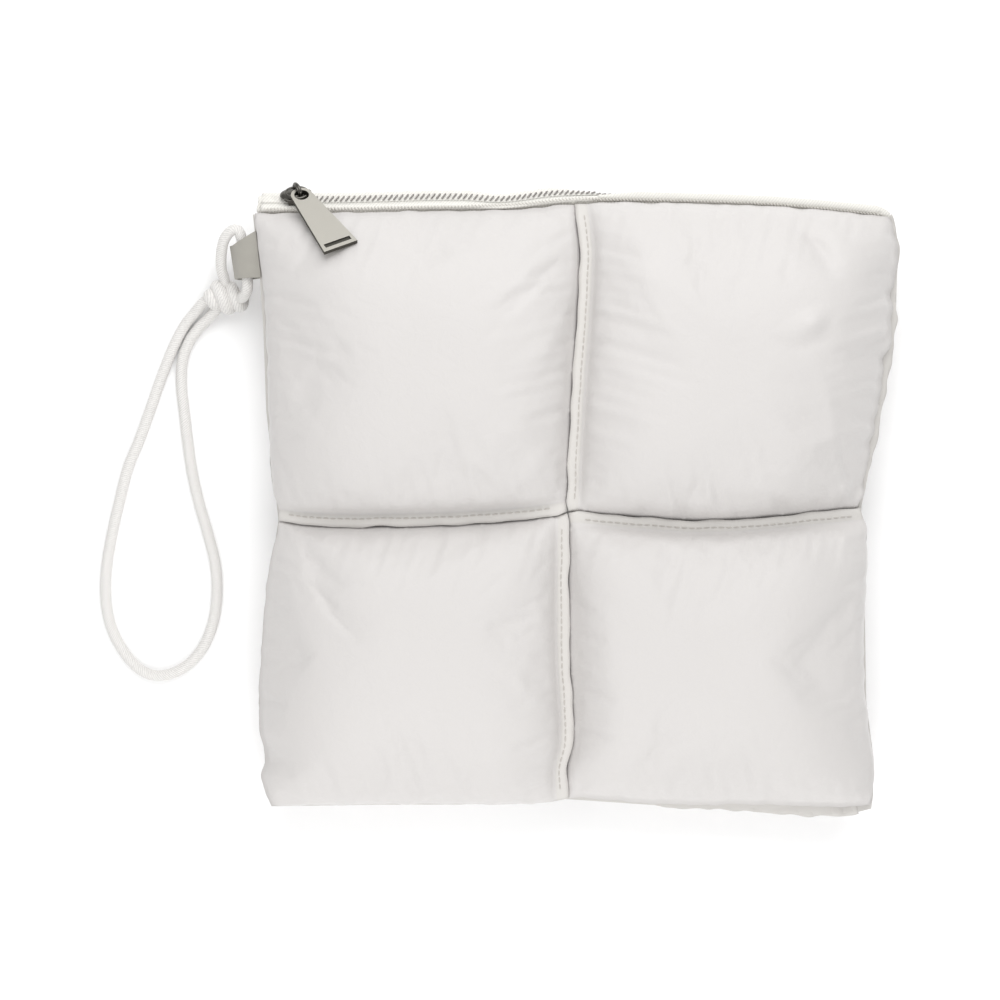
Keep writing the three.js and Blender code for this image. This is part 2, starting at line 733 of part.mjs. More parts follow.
function sliderBody() {
  const flangeAt = SLIDER_WIDTH / 2 - 0.5;
  const flangeHeight = topPlate - TAPE_THICKNESS / 2 - FIT_GAP;
  const parts = [
    plate(SLIDER_LENGTH, SLIDER_WIDTH, SLIDER_PLATE, topPlate, 1.8),
    plate(SLIDER_LENGTH, SLIDER_WIDTH, SLIDER_PLATE, bottomPlate - SLIDER_PLATE, 1.8),
    box(SLIDER_POST_LENGTH, SLIDER_POST_WIDTH, topPlate - bottomPlate + SLIDER_PLATE,
      -SLIDER_LENGTH / 2 + 2.4, 0, (topPlate + bottomPlate) / 2),
    box(SLIDER_LENGTH - 4, 1, flangeHeight + SLIDER_PLATE / 2, 0, flangeAt,
      topPlate - flangeHeight / 2 + SLIDER_PLATE / 4),
    box(SLIDER_LENGTH - 4, 1, flangeHeight + SLIDER_PLATE / 2, 0, -flangeAt,
      topPlate - flangeHeight / 2 + SLIDER_PLATE / 4),
    crown(),
  ];
  return surface(parts.map(solid).reduce((whole, part) => whole.add(part)));
}

// The puller, in its own frame: the hinge at the origin, x towards its end, z out of its upper face
function pullerPlate() {
  const eyeX = EYE_RADIUS + EYE_RIM / 2;
  const ring = EYE_RADIUS + EYE_RIM;
  const endX = eyeX + PULLER_LENGTH;
  const half = PULLER_END_WIDTH / 2;
  const shape = new THREE.Shape();
  shape.moveTo(endX, -half);
  shape.lineTo(endX, half);
  shape.lineTo(eyeX, ring);
  shape.absarc(eyeX, 0, ring, Math.PI / 2, 1.5 * Math.PI);
  const eye = new THREE.Path();
  eye.absarc(eyeX, 0, EYE_RADIUS, 0, 2 * Math.PI, true);
  shape.holes.push(eye);
  const body = new THREE.ExtrudeGeometry(shape, { depth: PULLER_THICKNESS, bevelEnabled: false, curveSegments: 10 });
  body.translate(0, 0, -PULLER_THICKNESS / 2);
  const slot = box(SLOT_WIDTH, SLOT_LENGTH, 2 * SLOT_DEPTH, endX - SLOT_FROM_END - SLOT_WIDTH / 2, 0,
    PULLER_THICKNESS / 2);
  return surface(solid(body).subtract(solid(slot)));
}

// The tab: a folded leather strip whose ends lie above and below the seam flange. Each row is a place along the
// fold: how far out, how far down and how far open it is, as shares of its reach, its drop and the cord.
const TAB_FOLD = [
  { out: -0.02, drop: 0, open: 0 },
  { out: 0.08, drop: 0.06, open: 0.05 },
  { out: 0.25, drop: 0.3, open: 0.6 },
  { out: 0.45, drop: 0.5, open: 1 },
  { out: 0.8, drop: 0.82, open: 1 },
  { out: 1, drop: 1, open: 0.5 },
];

function sideTab() {
  const sections = [0, 0.5, 1].map((share) => {
    const root = TAB_AT * HALF_HEIGHT + TAB_ROOT * (0.5 - share);
    const outline = TAB_FOLD.map(({ out, drop, open }) => {
      const closed = FLANGE_HALF + TAB_ROOT_GAP;
      const tunnel = (CORD_DIAMETER / 2 + TAB_ROOM) / Math.cos(Math.atan2(TAB_DROP, TAB_REACH));
      const half = closed + open * (tunnel - closed);
      return { out: out * TAB_REACH, z: -drop * TAB_DROP, half };
    });
    const inner = [
      ...outline.map(({ out, z, half }) => [out, z + half]),
      ...[...outline].reverse().map(({ out, z, half }) => [out, z - half]),
    ];
    const outer = [
      ...outline.map(({ out, z, half }) => [out, z + half + TAB_WALL]),
      [TAB_REACH + TAB_WALL + 0.6, -TAB_DROP - 0.4],
      ...[...outline].reverse().map(({ out, z, half }) => [out, z - half - TAB_WALL]),
    ];
    inner.splice(outline.length, 0, [TAB_REACH + 0.6, -TAB_DROP - 0.4]);
    const place = ([out, z]) => {
      const narrowing = (clamp01(out / TAB_REACH) * (TAB_ROOT - TAB_TIP)) / 2;
      const y = root - narrowing * (1 - 2 * share) + (TAB_SLANT * clamp01(out / TAB_REACH));
      return [outerX(-1, root) - out, y, z];
    };
    return { outer: outer.map(place), inner: inner.map(place) };
  });
  const count = sections[0].outer.length;
  const positions = sections.flatMap(({ outer, inner }) => [...outer, ...inner]).flat();
  const outerAt = (s, k) => s * 2 * count + k;
  const innerAt = (s, k) => outerAt(s, k) + count;
  const faces = [];
  const quad = (a, b, c, d) => faces.push(a, b, c, a, c, d);
  const lastSection = sections.length - 1;
  for (let k = 0; k + 1 < count; k += 1) {
    for (let s = 0; s < lastSection; s += 1) {
      quad(outerAt(s, k), outerAt(s, k + 1), outerAt(s + 1, k + 1), outerAt(s + 1, k));
      quad(innerAt(s, k), innerAt(s + 1, k), innerAt(s + 1, k + 1), innerAt(s, k + 1));
    }
    quad(outerAt(0, k), innerAt(0, k), innerAt(0, k + 1), outerAt(0, k + 1));
    quad(outerAt(lastSection, k), outerAt(lastSection, k + 1), innerAt(lastSection, k + 1),
      innerAt(lastSection, k));
  }
  for (let s = 0; s < lastSection; s += 1) {
    quad(outerAt(s, 0), outerAt(s + 1, 0), innerAt(s + 1, 0), innerAt(s, 0));
    const end = count - 1;
    quad(outerAt(s, end), innerAt(s, end), innerAt(s + 1, end), outerAt(s + 1, end));
  }
  const geometry = new THREE.BufferGeometry();
  geometry.setAttribute('position', new THREE.Float32BufferAttribute(positions, 3));
  geometry.setIndex(faces);
  return geometry;
}

// A tube along a route of points
function cordTube(route, stepsPerDiameter) {
  const curve = new THREE.CatmullRomCurve3(route.map((point) => new THREE.Vector3(...point)));
  const steps = Math.round(curve.getLength() / (CORD_DIAMETER * stepsPerDiameter));
  const section = new THREE.Shape();
  for (let k = 0; k < CORD_SIDES; k += 1) {
    const angle = (2 * Math.PI * k) / CORD_SIDES;
    const point = [(CORD_DIAMETER / 2) * Math.cos(angle), (CORD_DIAMETER / 2) * Math.sin(angle)];
    if (k === 0) {
      section.moveTo(...point);
    } else {
      section.lineTo(...point);
    }
  }
  return new THREE.ExtrudeGeometry(section, { steps, extrudePath: curve, bevelEnabled: false });
}

// The knot: three fat turns side by side. Each row is a share of its length from one end and of its radius.
const KNOT_TURNS = [
  { along: 0, radius: 0.45 },
  { along: 0.1, radius: 0.82 },
  { along: 0.22, radius: 0.92 },
  { along: 0.34, radius: 0.8 },
  { along: 0.48, radius: 1 },
  { along: 0.62, radius: 0.82 },
  { along: 0.76, radius: 0.94 },
  { along: 0.9, radius: 0.8 },
  { along: 1, radius: 0.4 },
];

function knot() {
  const profile = KNOT_TURNS.map((row) => (
    new THREE.Vector2(row.radius * KNOT_RADIUS, (row.along - 0.5) * KNOT_LENGTH)));
  const ends = [new THREE.Vector2(0, -KNOT_LENGTH / 2), new THREE.Vector2(0, KNOT_LENGTH / 2)];
  const geometry = new THREE.LatheGeometry([ends[0], ...profile, ends[1]], 12);
  geometry.rotateZ(-Math.PI / 2);
  geometry.rotateZ(radians(KNOT_TURN));
  return geometry;
}

const PADDED_CLOTH = { color: 0xeae6e2, roughness: 0.62, metalness: 0 };
const front = bagFace(1, FRONT_CROWN, BAG_WIDTH, PAD_STATIONS);
const back = bagFace(-1, BACK_CROWN, BACK_DEPTH, BACK_STATIONS);

const bag = new THREE.Group();
bag.position.set(CROSSING_X, CROSSING_Y, SEAM_HEIGHT);
bag.add(named('pouch_shell', pouchShell(), new THREE.MeshStandardMaterial(PADDED_CLOTH)));
for (const quarter of QUARTERS) {
  bag.add(named(`front_strip_${quarter.name}`, strip(quarter, front), new THREE.MeshStandardMaterial(PADDED_CLOTH)));
  bag.add(named(`back_strip_${quarter.name}`, strip(quarter, back), new THREE.MeshStandardMaterial(PADDED_CLOTH)));
}
for (const [name, side] of [['front', 1], ['back', -1]]) {
  const woven = new THREE.MeshStandardMaterial({ color: 0xefede6, roughness: 0.85, metalness: 0 });
  const metal = new THREE.MeshStandardMaterial({ color: 0x9a9c92, roughness: 0.35, metalness: 1 });
  bag.add(named(`zip_tape_${name}`, zipTape(side), woven));
  bag.add(named(`zip_teeth_${name}`, outward(zipTeeth(side)), metal));
}
bag.add(named('side_tab', outward(sideTab()), new THREE.MeshStandardMaterial({ color: 0xd9d5cc, roughness: 0.6, metalness: 0 })));

const sliderSection = zipSection(sliderX);
const slider = new THREE.Group();
slider.position.set(sliderX, sliderSection.middle.x, sliderSection.middle.y);
slider.rotation.x = -radians(along(ZIP_LINE, sliderX / HALF_WIDTH, 'tilt'));
const nickel = { color: 0xcdcac2, roughness: 0.3, metalness: 1 };
slider.add(named('zip_slider', sliderBody(), new THREE.MeshStandardMaterial(nickel)));
const puller = named('zip_puller', pullerPlate(), new THREE.MeshStandardMaterial(nickel));
puller.position.set(0, CROWN_SHIFT, hingeHeight);
puller.rotation.set(0, radians(PULLER_DIP), radians(-PULLER_TURN), 'ZYX');
slider.add(puller);
bag.add(slider);

const cordMaterial = { color: 0xf1efec, roughness: 0.7, metalness: 0 };
const pouch = new THREE.Group();
pouch.add(bag);
pouch.add(named('wrist_cord', cordTube(WRIST_CORD_ROUTE, 2.5), new THREE.MeshStandardMaterial(cordMaterial)));
pouch.add(named('tab_cord_loop', cordTube(TAB_CORD_ROUTE, 0.9), new THREE.MeshStandardMaterial(cordMaterial)));
const wristKnot = named('wrist_knot', knot(), new THREE.MeshStandardMaterial(cordMaterial));
wristKnot.position.set(...KNOT_CENTRE);
pouch.add(wristKnot);

export default pouch;
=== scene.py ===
"""Photographic looks for a puffy, woven, off-white pouch bag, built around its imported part.

The pouch lies on its back on a white table, between two large soft lights under an even white sky. Lengths
are millimetres until a mesh is made, and the frame is the part's own: +X to the bag's right, +Y towards its
zip, +Z up.
"""
import logging
import math
from dataclasses import dataclass, field
from enum import Enum

import bpy
import numpy as np
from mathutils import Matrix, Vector


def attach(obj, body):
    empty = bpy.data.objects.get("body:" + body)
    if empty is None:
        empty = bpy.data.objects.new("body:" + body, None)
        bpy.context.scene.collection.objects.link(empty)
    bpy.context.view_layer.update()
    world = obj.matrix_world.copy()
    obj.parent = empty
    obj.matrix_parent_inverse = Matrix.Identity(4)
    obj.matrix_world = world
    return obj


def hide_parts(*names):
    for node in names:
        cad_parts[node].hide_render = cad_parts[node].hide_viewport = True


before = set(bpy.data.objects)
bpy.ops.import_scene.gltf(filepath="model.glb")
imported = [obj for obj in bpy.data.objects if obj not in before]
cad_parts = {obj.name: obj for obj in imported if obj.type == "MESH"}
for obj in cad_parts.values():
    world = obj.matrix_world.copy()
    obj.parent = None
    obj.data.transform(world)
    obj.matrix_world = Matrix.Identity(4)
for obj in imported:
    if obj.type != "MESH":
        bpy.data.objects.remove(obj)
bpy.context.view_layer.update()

LOG = logging.getLogger("pouch")
MM = 0.001
SEED = 7

# Place of the weave's crossing point, and the height of the side seams above the table
CROSSING = np.array([2.1, -5.12, 27.0])
HALF = 138.0
FLANGE_HALF = 1.2
MOUTH_HALF = 4.0
SWELL = 12.0
SWELL_REACH = 62.0
LAYER_GAP = 0.3
TONGUE = 1.2
TONGUE_INSET = 8.0
PAD_LIFT = 1.8
SEAM_GAP = 0.6
MARGIN = 5.0
MARGIN_THICKNESS = 1.8
OUTER_MARGIN = 2.0
SHOULDER = 42.0
FRONT_CROWN = 19.0
BACK_CROWN = 16.0
FRONT_CELLS = 92
BACK_CELLS = 64

# Outlines: place along the edge as a share of its half length, and distance from the crossing as a share of
# the half size, or how far a seam strays from the straight line
LEFT_EDGE = (
    (1.05, 1.03), (0.72, 0.995), (0.4, 0.983), (0.14, 0.966), (-0.02, 0.94), (-0.12, 0.966),
    (-0.32, 0.988), (-0.7, 1.006), (-0.83, 0.985), (-0.91, 0.998), (-1.05, 0.94),
)
RIGHT_EDGE = (
    (1.05, 1.03), (0.88, 1.08), (0.75, 1.066), (0.64, 1.072), (0.4, 1.037), (0.14, 0.985), (0.015, 0.957),
    (-0.08, 0.98), (-0.5, 0.968), (-0.74, 0.985), (-0.88, 1.004), (-1.05, 0.985),
)
TOP_EDGE = (
    (-1.05, 0.97), (-0.75, 0.97), (-0.5, 0.975), (-0.2, 0.98), (0.0, 0.998), (0.12, 1.004), (0.5, 0.996),
    (0.72, 0.985), (1.05, 0.955),
)
BOTTOM_EDGE = (
    (-1.05, 0.96), (-0.5, 0.953), (-0.1, 0.953), (0.02, 0.935), (0.3, 0.957), (0.6, 0.972), (0.88, 0.99),
    (1.05, 0.955),
)
LEFT_PEEK = ((1.05, 0.006), (0.5, 0.012), (0.0, 0.004), (-1.05, 0.004))
RIGHT_PEEK = ((1.05, 0.0), (0.85, 0.006), (0.5, 0.022), (0.2, 0.015), (0.0, 0.006), (-1.05, 0.006))
BOTTOM_PEEK = ((-1.05, 0.004), (0.0, 0.006), (0.4, 0.012), (0.85, 0.034), (1.05, 0.01))
NO_PEEK = ((-1.05, 0.0), (1.05, 0.0))
UPPER_SEAM = ((1.05, 0.022), (0.84, 0.044), (0.6, 0.032), (0.3, 0.012), (0.0, 0.0))
LOWER_SEAM = ((0.0, 0.0), (-0.45, 0.0), (-0.78, 0.013), (-0.9, -0.006), (-1.05, 0.004))
LEFT_SEAM = ((-1.05, -0.02), (-0.84, -0.041), (-0.45, -0.038), (-0.15, -0.02), (0.0, 0.0))
RIGHT_SEAM = ((0.0, 0.0), (0.2, -0.018), (0.5, -0.032), (0.9, 0.0), (1.05, 0.016))

# The zip's line: place along X, and its middle past the mouth's edge, height above the side seams (both as
# shares of the mouth's half height) and tilt of its face towards +Y in degrees
ZIP_LINE = (
    (-1.05, 1.5, 0.55, 45.0), (-0.78, 1.5, 0.55, 45.0), (-0.6, 1.5, 0.7, 45.0), (-0.34, 1.5, 1.0, 45.0),
    (-0.22, 1.15, 0.85, 50.0), (-0.06, 1.3, 0.9, 50.0), (0.14, 0.9, 0.3, 78.0), (1.05, 0.9, 0.2, 84.0),
)

# Dents and swellings of the front pads: place, length and width as shares of the half width, turn in
# degrees, and depth as a share of the crown
FRONT_DENTS = (
    (-0.86, 0.8, 0.2, 0.1, 40.0, 0.16), (-0.1, 0.22, 0.2, 0.08, 60.0, 0.1),
    (-0.45, 0.12, 0.3, 0.08, 10.0, 0.08), (0.78, 0.86, 0.16, 0.08, -50.0, 0.16),
    (0.88, 0.12, 0.2, 0.1, 35.0, 0.16), (-0.86, -0.14, 0.16, 0.09, -30.0, 0.14),
    (0.86, -0.16, 0.14, 0.08, -35.0, 0.14), (-0.14, -0.8, 0.18, 0.08, -60.0, 0.1),
    (0.2, -0.86, 0.18, 0.07, 60.0, 0.1), (0.76, 0.6, 0.07, 0.05, 20.0, -0.07),
    (0.7, 0.52, 0.12, 0.04, -20.0, 0.06), (-0.8, 0.88, 0.12, 0.03, 55.0, 0.08),
    (-0.9, 0.66, 0.14, 0.03, 25.0, 0.07),
)

# Single folds of the front pads: place, length, width, turn in degrees, and height, which is below zero for
# a crease
FOLDS = (
    (-119.5, 98.0, 24.0, 3.2, 27.0, 0.9), (-121.0, 111.0, 20.0, 2.8, 30.0, 0.8),
    (-122.0, 124.0, 14.0, 2.4, 36.0, 0.5), (-116.0, 91.0, 20.0, 3.0, 22.0, -0.7),
    (108.5, 118.0, 9.0, 3.2, -50.0, -1.7), (113.0, 110.0, 9.0, 3.0, -80.0, -1.0),
    (106.0, 82.0, 7.0, 4.5, 20.0, 1.8), (105.0, 74.0, 9.0, 4.0, 5.0, -1.0),
    (55.0, 8.0, 9.0, 2.8, 70.0, -1.6), (61.0, 7.0, 8.0, 2.6, 100.0, 1.2),
    (129.0, 9.0, 11.0, 2.6, 40.0, -1.8), (124.0, 11.0, 11.0, 2.6, 35.0, 1.3),
    (5.6, 17.0, 13.0, 1.0, 80.0, -1.5), (3.0, 26.0, 12.0, 1.2, 88.0, -1.0),
    (-34.0, 28.0, 24.0, 5.0, 40.0, 0.6), (-16.0, 20.0, 14.0, 4.0, 55.0, 0.6),
    (-12.0, 70.0, 12.0, 3.0, 15.0, 1.0), (-12.0, 58.0, 12.0, 2.6, 10.0, -0.9),
    (-10.0, 45.0, 10.0, 2.6, 5.0, 0.8), (30.0, 105.0, 16.0, 4.0, -30.0, 0.6),
    (-60.0, 120.0, 22.0, 5.0, 80.0, -0.4),
)

# Gathers along the sewn sides of the front pads: pad, side, middle and reach along that side, and height
GATHERS = (
    ("top", "dive", 56.0, 30.0, 1.0), ("top", "side", 95.0, 26.0, 0.7), ("top", "end", -95.0, 30.0, 0.4),
    ("top", "free", -40.0, 40.0, 0.4), ("right", "free", 65.0, 55.0, 1.1),
    ("right", "dive", 55.0, 26.0, 1.1), ("right", "dive", 124.0, 12.0, 1.5),
    ("right", "side", 75.0, 50.0, 1.2), ("right", "end", 75.0, 50.0, 0.5),
    ("bottom", "free", 120.0, 16.0, 0.9), ("bottom", "side", -18.0, 16.0, 1.0),
    ("bottom", "end", 60.0, 50.0, 0.6), ("bottom", "dive", -95.0, 35.0, 0.6),
    ("left", "side", -15.0, 16.0, 1.0), ("left", "dive", -70.0, 40.0, 0.6),
    ("left", "dive", -18.0, 12.0, 1.0), ("left", "free", -112.0, 18.0, 0.9),
    ("left", "end", -70.0, 45.0, 0.5),
)

# Routes of the wrist cord and of the short loop through the tab
WRIST_ROUTE = (
    (-158.5, 94, 8), (-164.3, 90.7, 6.5), (-168, 86.7, 4.6), (-172.3, 81.8, 3.1), (-175.6, 76.3, 2.7),
    (-179.5, 68, 2.7), (-184.1, 56, 2.7), (-188.9, 42.2, 2.7), (-194, 27.9, 2.7), (-199.3, 15, 2.7),
    (-203, 0.3, 2.7), (-206.4, -14.4, 2.7), (-209, -29.6, 2.7), (-209.6, -43.9, 2.7), (-207.4, -57.2, 2.7),
    (-202.1, -68.3, 2.7), (-194.7, -77, 2.7), (-186.9, -80.5, 2.7), (-178.1, -79.2, 2.7),
    (-170.3, -74.3, 2.7), (-163.9, -66, 2.7), (-159.7, -54.5, 2.7), (-158.3, -41.1, 2.7),
    (-159.2, -28.7, 2.7), (-162.5, -15.3, 2.7), (-166.6, -1.1, 2.7), (-169.8, 13.2, 2.7),
    (-171.9, 27.9, 2.7), (-173.5, 41.7, 2.7), (-174.7, 53.2, 2.7), (-174.2, 64.3, 2.7), (-171.1, 73, 2.8),
    (-166.8, 79, 3.4), (-162.8, 83, 4.6), (-159.8, 86, 6), (-156.5, 90, 7.6),
)
TAB_ROUTE = (
    (-154.2, 96, 9.5), (-153.9, 100.7, 11.2), (-154.9, 105.3, 14.6), (-154.7, 111.3, 17.6),
    (-153.3, 117.4, 20.6), (-150.1, 121.7, 22.6), (-146.5, 122.2, 23), (-144.8, 118, 22.8),
    (-143.9, 111.8, 22.7), (-142.9, 105.4, 22.7), (-142.3, 99.6, 22.2), (-142.7, 95.4, 19.8),
    (-145, 92.7, 15.2), (-148, 92.5, 11),
)


class Body(Enum):
    """The rigid bodies of the part."""

    BAG = "bag"
    PULLER = "puller"


class Face(Enum):
    """The two faces of the bag: +1 is the front, -1 the back it lies on."""

    FRONT = 1
    BACK = -1


def srgb(code: str) -> tuple[float, float, float, float]:
    """Turn a hex colour into linear RGBA.

    Args:
        code: Six hex digits.

    Returns:
        Linear red, green, blue and an alpha of one.
    """
    values = [int(code[k:k + 2], 16) / 255 for k in (0, 2, 4)]
    return (*[v / 12.92 if v <= 0.04045 else ((v + 0.055) / 1.055) ** 2.4 for v in values], 1.0)


def shaded(code: str, share: float) -> tuple[float, float, float, float]:
    """A hex colour in linear RGBA, darkened to a share of itself."""
    return (*[share * value for value in srgb(code)[:3]], 1.0)


def wave_scale(period_mm: float) -> float:
    """Scale that makes a wave texture's bands repeat at a period in millimetres."""
    return 2 * math.pi / (20 * period_mm * MM)


def along(table: tuple, at: np.ndarray, column: int = 1) -> np.ndarray:
    """Read a smooth value from one column of a table.

    Args:
        table: Rows whose first column is the place.
        at: Places to read.
        column: The column to read.

    Returns:
        The values, on a smooth curve through the rows.
    """
    rows = np.array(sorted(table))
    last = len(rows) - 1
    place = np.clip(at, rows[0, 0], rows[last, 0])
    i = np.clip(np.searchsorted(rows[:, 0], place, side="right") - 1, 0, last - 1)

    def slope(k: np.ndarray) -> np.ndarray:
        """The curve's slope at rows of the table."""
        before, after = rows[np.maximum(k - 1, 0)], rows[np.minimum(k + 1, last)]
        return (after[..., column] - before[..., column]) / (after[..., 0] - before[..., 0])

    step = rows[i + 1, 0] - rows[i, 0]
    t = (place - rows[i, 0]) / step
    ends = (2 * t**3 - 3 * t**2 + 1) * rows[i, column] + (3 * t**2 - 2 * t**3) * rows[i + 1, column]
    return ends + step * ((t**3 - 2 * t**2 + t) * slope(i) + (t**3 - t**2) * slope(i + 1))


def outer_x(side: int, y: np.ndarray) -> np.ndarray:
    """X of the pouch's left (-1) or right (1) edge."""
    return side * HALF * along(LEFT_EDGE if side < 0 else RIGHT_EDGE, y / HALF)


def outer_y(side: int, x: np.ndarray) -> np.ndarray:
    """Y of the pouch's bottom (-1) or top (1) edge."""
    return side * HALF * along(BOTTOM_EDGE if side < 0 else TOP_EDGE, x / HALF)


def ease(distance: np.ndarray) -> np.ndarray:
    """A rise from 0 to 1 over the pouch's swelling reach."""
    return 1 - (1 - np.clip(distance / SWELL_REACH, 0, 1)) ** 2


def swell(x: np.ndarray, y: np.ndarray) -> np.ndarray:
    """Half the pouch's own thickness at a point of the weave."""
    sides = ease(x - outer_x(-1, y)) * ease(outer_x(1, y) - x) * ease(y - outer_y(-1, x))
    at_mouth = (MOUTH_HALF - FLANGE_HALF) / SWELL
    return FLANGE_HALF + SWELL * sides * (at_mouth + (1 - at_mouth) * ease(outer_y(1, x) - y))


def rise(distance: np.ndarray, shoulder: float = SHOULDER) -> np.ndarray:
    """A padded edge's rise from its foot, as a share of the crown."""
    return (1 - (1 - np.clip(distance / shoulder, 0, 1)) ** 2.2) ** 0.6


def wobble(places: np.ndarray, length: float, rng: np.random.Generator) -> np.ndarray:
    """An uneven wave along a line, made of five cosines near one wavelength.

    Args:
        places: Places along the line in millimetres.
        length: The middle wavelength in millimetres.
        rng: Where the cosines' phases come from.

    Returns:
        The wave at each place, from about -1 to 1.
    """
    total = np.zeros_like(places)
    for share in (0.55, 0.8, 1.0, 1.35, 1.9):
        total += np.cos(2 * math.pi * places / (length * share) + rng.uniform(0, 2 * math.pi))
    return total / 2.6


def catmull(points: tuple, step: float) -> np.ndarray:
    """Sample a smooth line through points.

    Args:
        points: The points it passes through.
        step: Distance between samples in millimetres.

    Returns:
        The samples, one row each.
    """
    p = np.array(points, dtype=float)
    ends = np.vstack([2 * p[0] - p[1], p, 2 * p[-1] - p[-2]])
    dense = []
    for a, b, c, d in zip(ends, ends[1:], ends[2:], ends[3:]):
        t = np.linspace(0, 1, 24, endpoint=False)[:, None]
        dense.append(0.5 * (2 * b + (c - a) * t + (2 * a - 5 * b + 4 * c - d) * t**2
                            + (3 * b - a - 3 * c + d) * t**3))
    line = np.vstack([*dense, p[-1:]])
    run = run_along(line)
    even = np.linspace(0, run[-1], max(int(run[-1] / step), 4))
    return np.column_stack([np.interp(even, run, line[:, k]) for k in range(3)])


def mesh_object(name: str, vertices: np.ndarray, faces: list, smooth: bool = True) -> bpy.types.Object:
    """Make a mesh object from millimetre points.

    Args:
        name: Name of the object.
        vertices: Points in millimetres.
        faces: Lists of point numbers.
        smooth: Whether its faces are shaded smooth.

    Returns:
        The linked object.
    """
    name = name.replace(" ", "-")
    mesh = bpy.data.meshes.new(name)
    mesh.from_pydata((np.asarray(vertices) * MM).tolist(), [], faces)
    mesh.validate()
    mesh.polygons.foreach_set("use_smooth", [smooth] * len(mesh.polygons))
    mesh.update()
    obj = bpy.data.objects.new(name, mesh)
    bpy.context.scene.collection.objects.link(obj)
    return obj


def grid_faces(rows: int, columns: int, start: int = 0, flip: bool = False) -> list:
    """Quads over a grid of points numbered row by row.

    Args:
        rows: Rows of points.
        columns: Points in a row.
        start: Number of the first point.
        flip: Whether the faces turn the other way.

    Returns:
        Lists of point numbers.
    """
    faces = []
    for i in range(rows - 1):
        for j in range(columns - 1):
            a = start + i * columns + j
            quad = [a, a + 1, a + columns + 1, a + columns]
            faces.append(quad[::-1] if flip else quad)
    return faces


def slab_faces(rows: int, columns: int, flip: bool = False) -> list:
    """Faces of a closed slab: a top grid, then a bottom grid of the same size, and its four walls.

    Args:
        rows: Rows of points in each grid.
        columns: Points in a row.
        flip: Whether the faces turn the other way.

    Returns:
        Lists of point numbers.
    """
    count = rows * columns
    faces = grid_faces(rows, columns, 0, flip) + grid_faces(rows, columns, count, not flip)
    rim = list(range(columns)) + [i * columns + columns - 1 for i in range(1, rows)]
    rim += [(rows - 1) * columns + j for j in range(columns - 2, -1, -1)]
    rim += [i * columns for i in range(rows - 2, 0, -1)]
    for a, b in zip(rim, rim[1:] + rim[:1]):
        wall = [b, a, count + a, count + b]
        faces.append(wall[::-1] if flip else wall)
    return faces


def ring_faces(rings: int, sides: int) -> list:
    """Faces of a closed body: rings of points, each joined to the next, and a cap at both ends.

    Args:
        rings: How many rings.
        sides: Points in a ring.

    Returns:
        Lists of point numbers.
    """
    faces = []
    for k in range(rings - 1):
        for j in range(sides):
            turn = (j + 1) % sides
            faces.append([k * sides + j, (k + 1) * sides + j, (k + 1) * sides + turn, k * sides + turn])
    first, last = list(range(sides)), list(range((rings - 1) * sides, rings * sides))
    return [*faces, first, last[::-1]]


def slab(name: str, tops: list | np.ndarray, bottoms: list | np.ndarray, material: bpy.types.Material,
         flip: bool = False) -> bpy.types.Object:
    """Make a closed slab that rides on the bag.

    Args:
        name: Name of the piece.
        tops: Grid of points on its top, about the weave's crossing.
        bottoms: The grid below it.
        material: Its finish.
        flip: Whether its faces turn the other way.

    Returns:
        The piece.
    """
    top = np.array(tops)
    vertices = np.vstack([top.reshape(-1, 3), np.array(bottoms).reshape(-1, 3)]) + CROSSING
    obj = mesh_object(name, vertices, slab_faces(*top.shape[:2], flip=flip))
    obj.data.materials.append(material)
    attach(obj, Body.BAG.value)
    return obj


def bezier(points: tuple, count: int) -> np.ndarray:
    """Sample a curve that leaves its first point and ends at its last, drawn towards those between.

    Args:
        points: The points, in any number of directions.
        count: How many samples.

    Returns:
        The samples, one row each.
    """
    t = np.linspace(0, 1, count)[:, None]
    rows = list(points)
    while len(rows) > 1:
        rows = [a * (1 - t) + b * t for a, b in zip(rows, rows[1:])]
    return rows[0]


def run_along(line: np.ndarray) -> np.ndarray:
    """Distance travelled along a line at each of its points."""
    return np.concatenate([[0], np.cumsum(np.linalg.norm(np.diff(line, axis=0), axis=1))])


def turned(x: np.ndarray, y: np.ndarray, turn: float) -> tuple[np.ndarray, np.ndarray]:
    """Places along and across a direction that is turned from +X by some degrees."""
    a = math.radians(turn)
    return x * math.cos(a) + y * math.sin(a), y * math.cos(a) - x * math.sin(a)


class Shader:
    """A material under construction, with one way to add a node."""

    def __init__(self, name: str) -> None:
        """Start a node tree that has only its output.

        Args:
            name: Name of the material.
        """
        self.material = bpy.data.materials.new(name)
        self.material.use_nodes = True
        self.tree = self.material.node_tree
        self.tree.nodes.clear()
        self.output = self.tree.nodes.new("ShaderNodeOutputMaterial")

    def add(self, kind: str, inputs: dict | None = None, **settings: object) -> bpy.types.Node:
        """Add a node.

        Args:
            kind: The node's type name without its ShaderNode prefix.
            inputs: Values, or sockets to link from, by input name or number.
            settings: Attributes of the node.

        Returns:
            The node.
        """
        node = self.tree.nodes.new(f"ShaderNode{kind}")
        for key, value in settings.items():
            setattr(node, key, value)
        for key, value in (inputs or {}).items():
            if isinstance(value, bpy.types.NodeSocket):
                self.tree.links.new(value, node.inputs[key])
            else:
                node.inputs[key].default_value = value
        return node

    def surface(self, node: bpy.types.Node) -> bpy.types.Material:
        """Make a node the surface and return the material."""
        self.tree.links.new(node.outputs[0], self.output.inputs["Surface"])
        return self.material


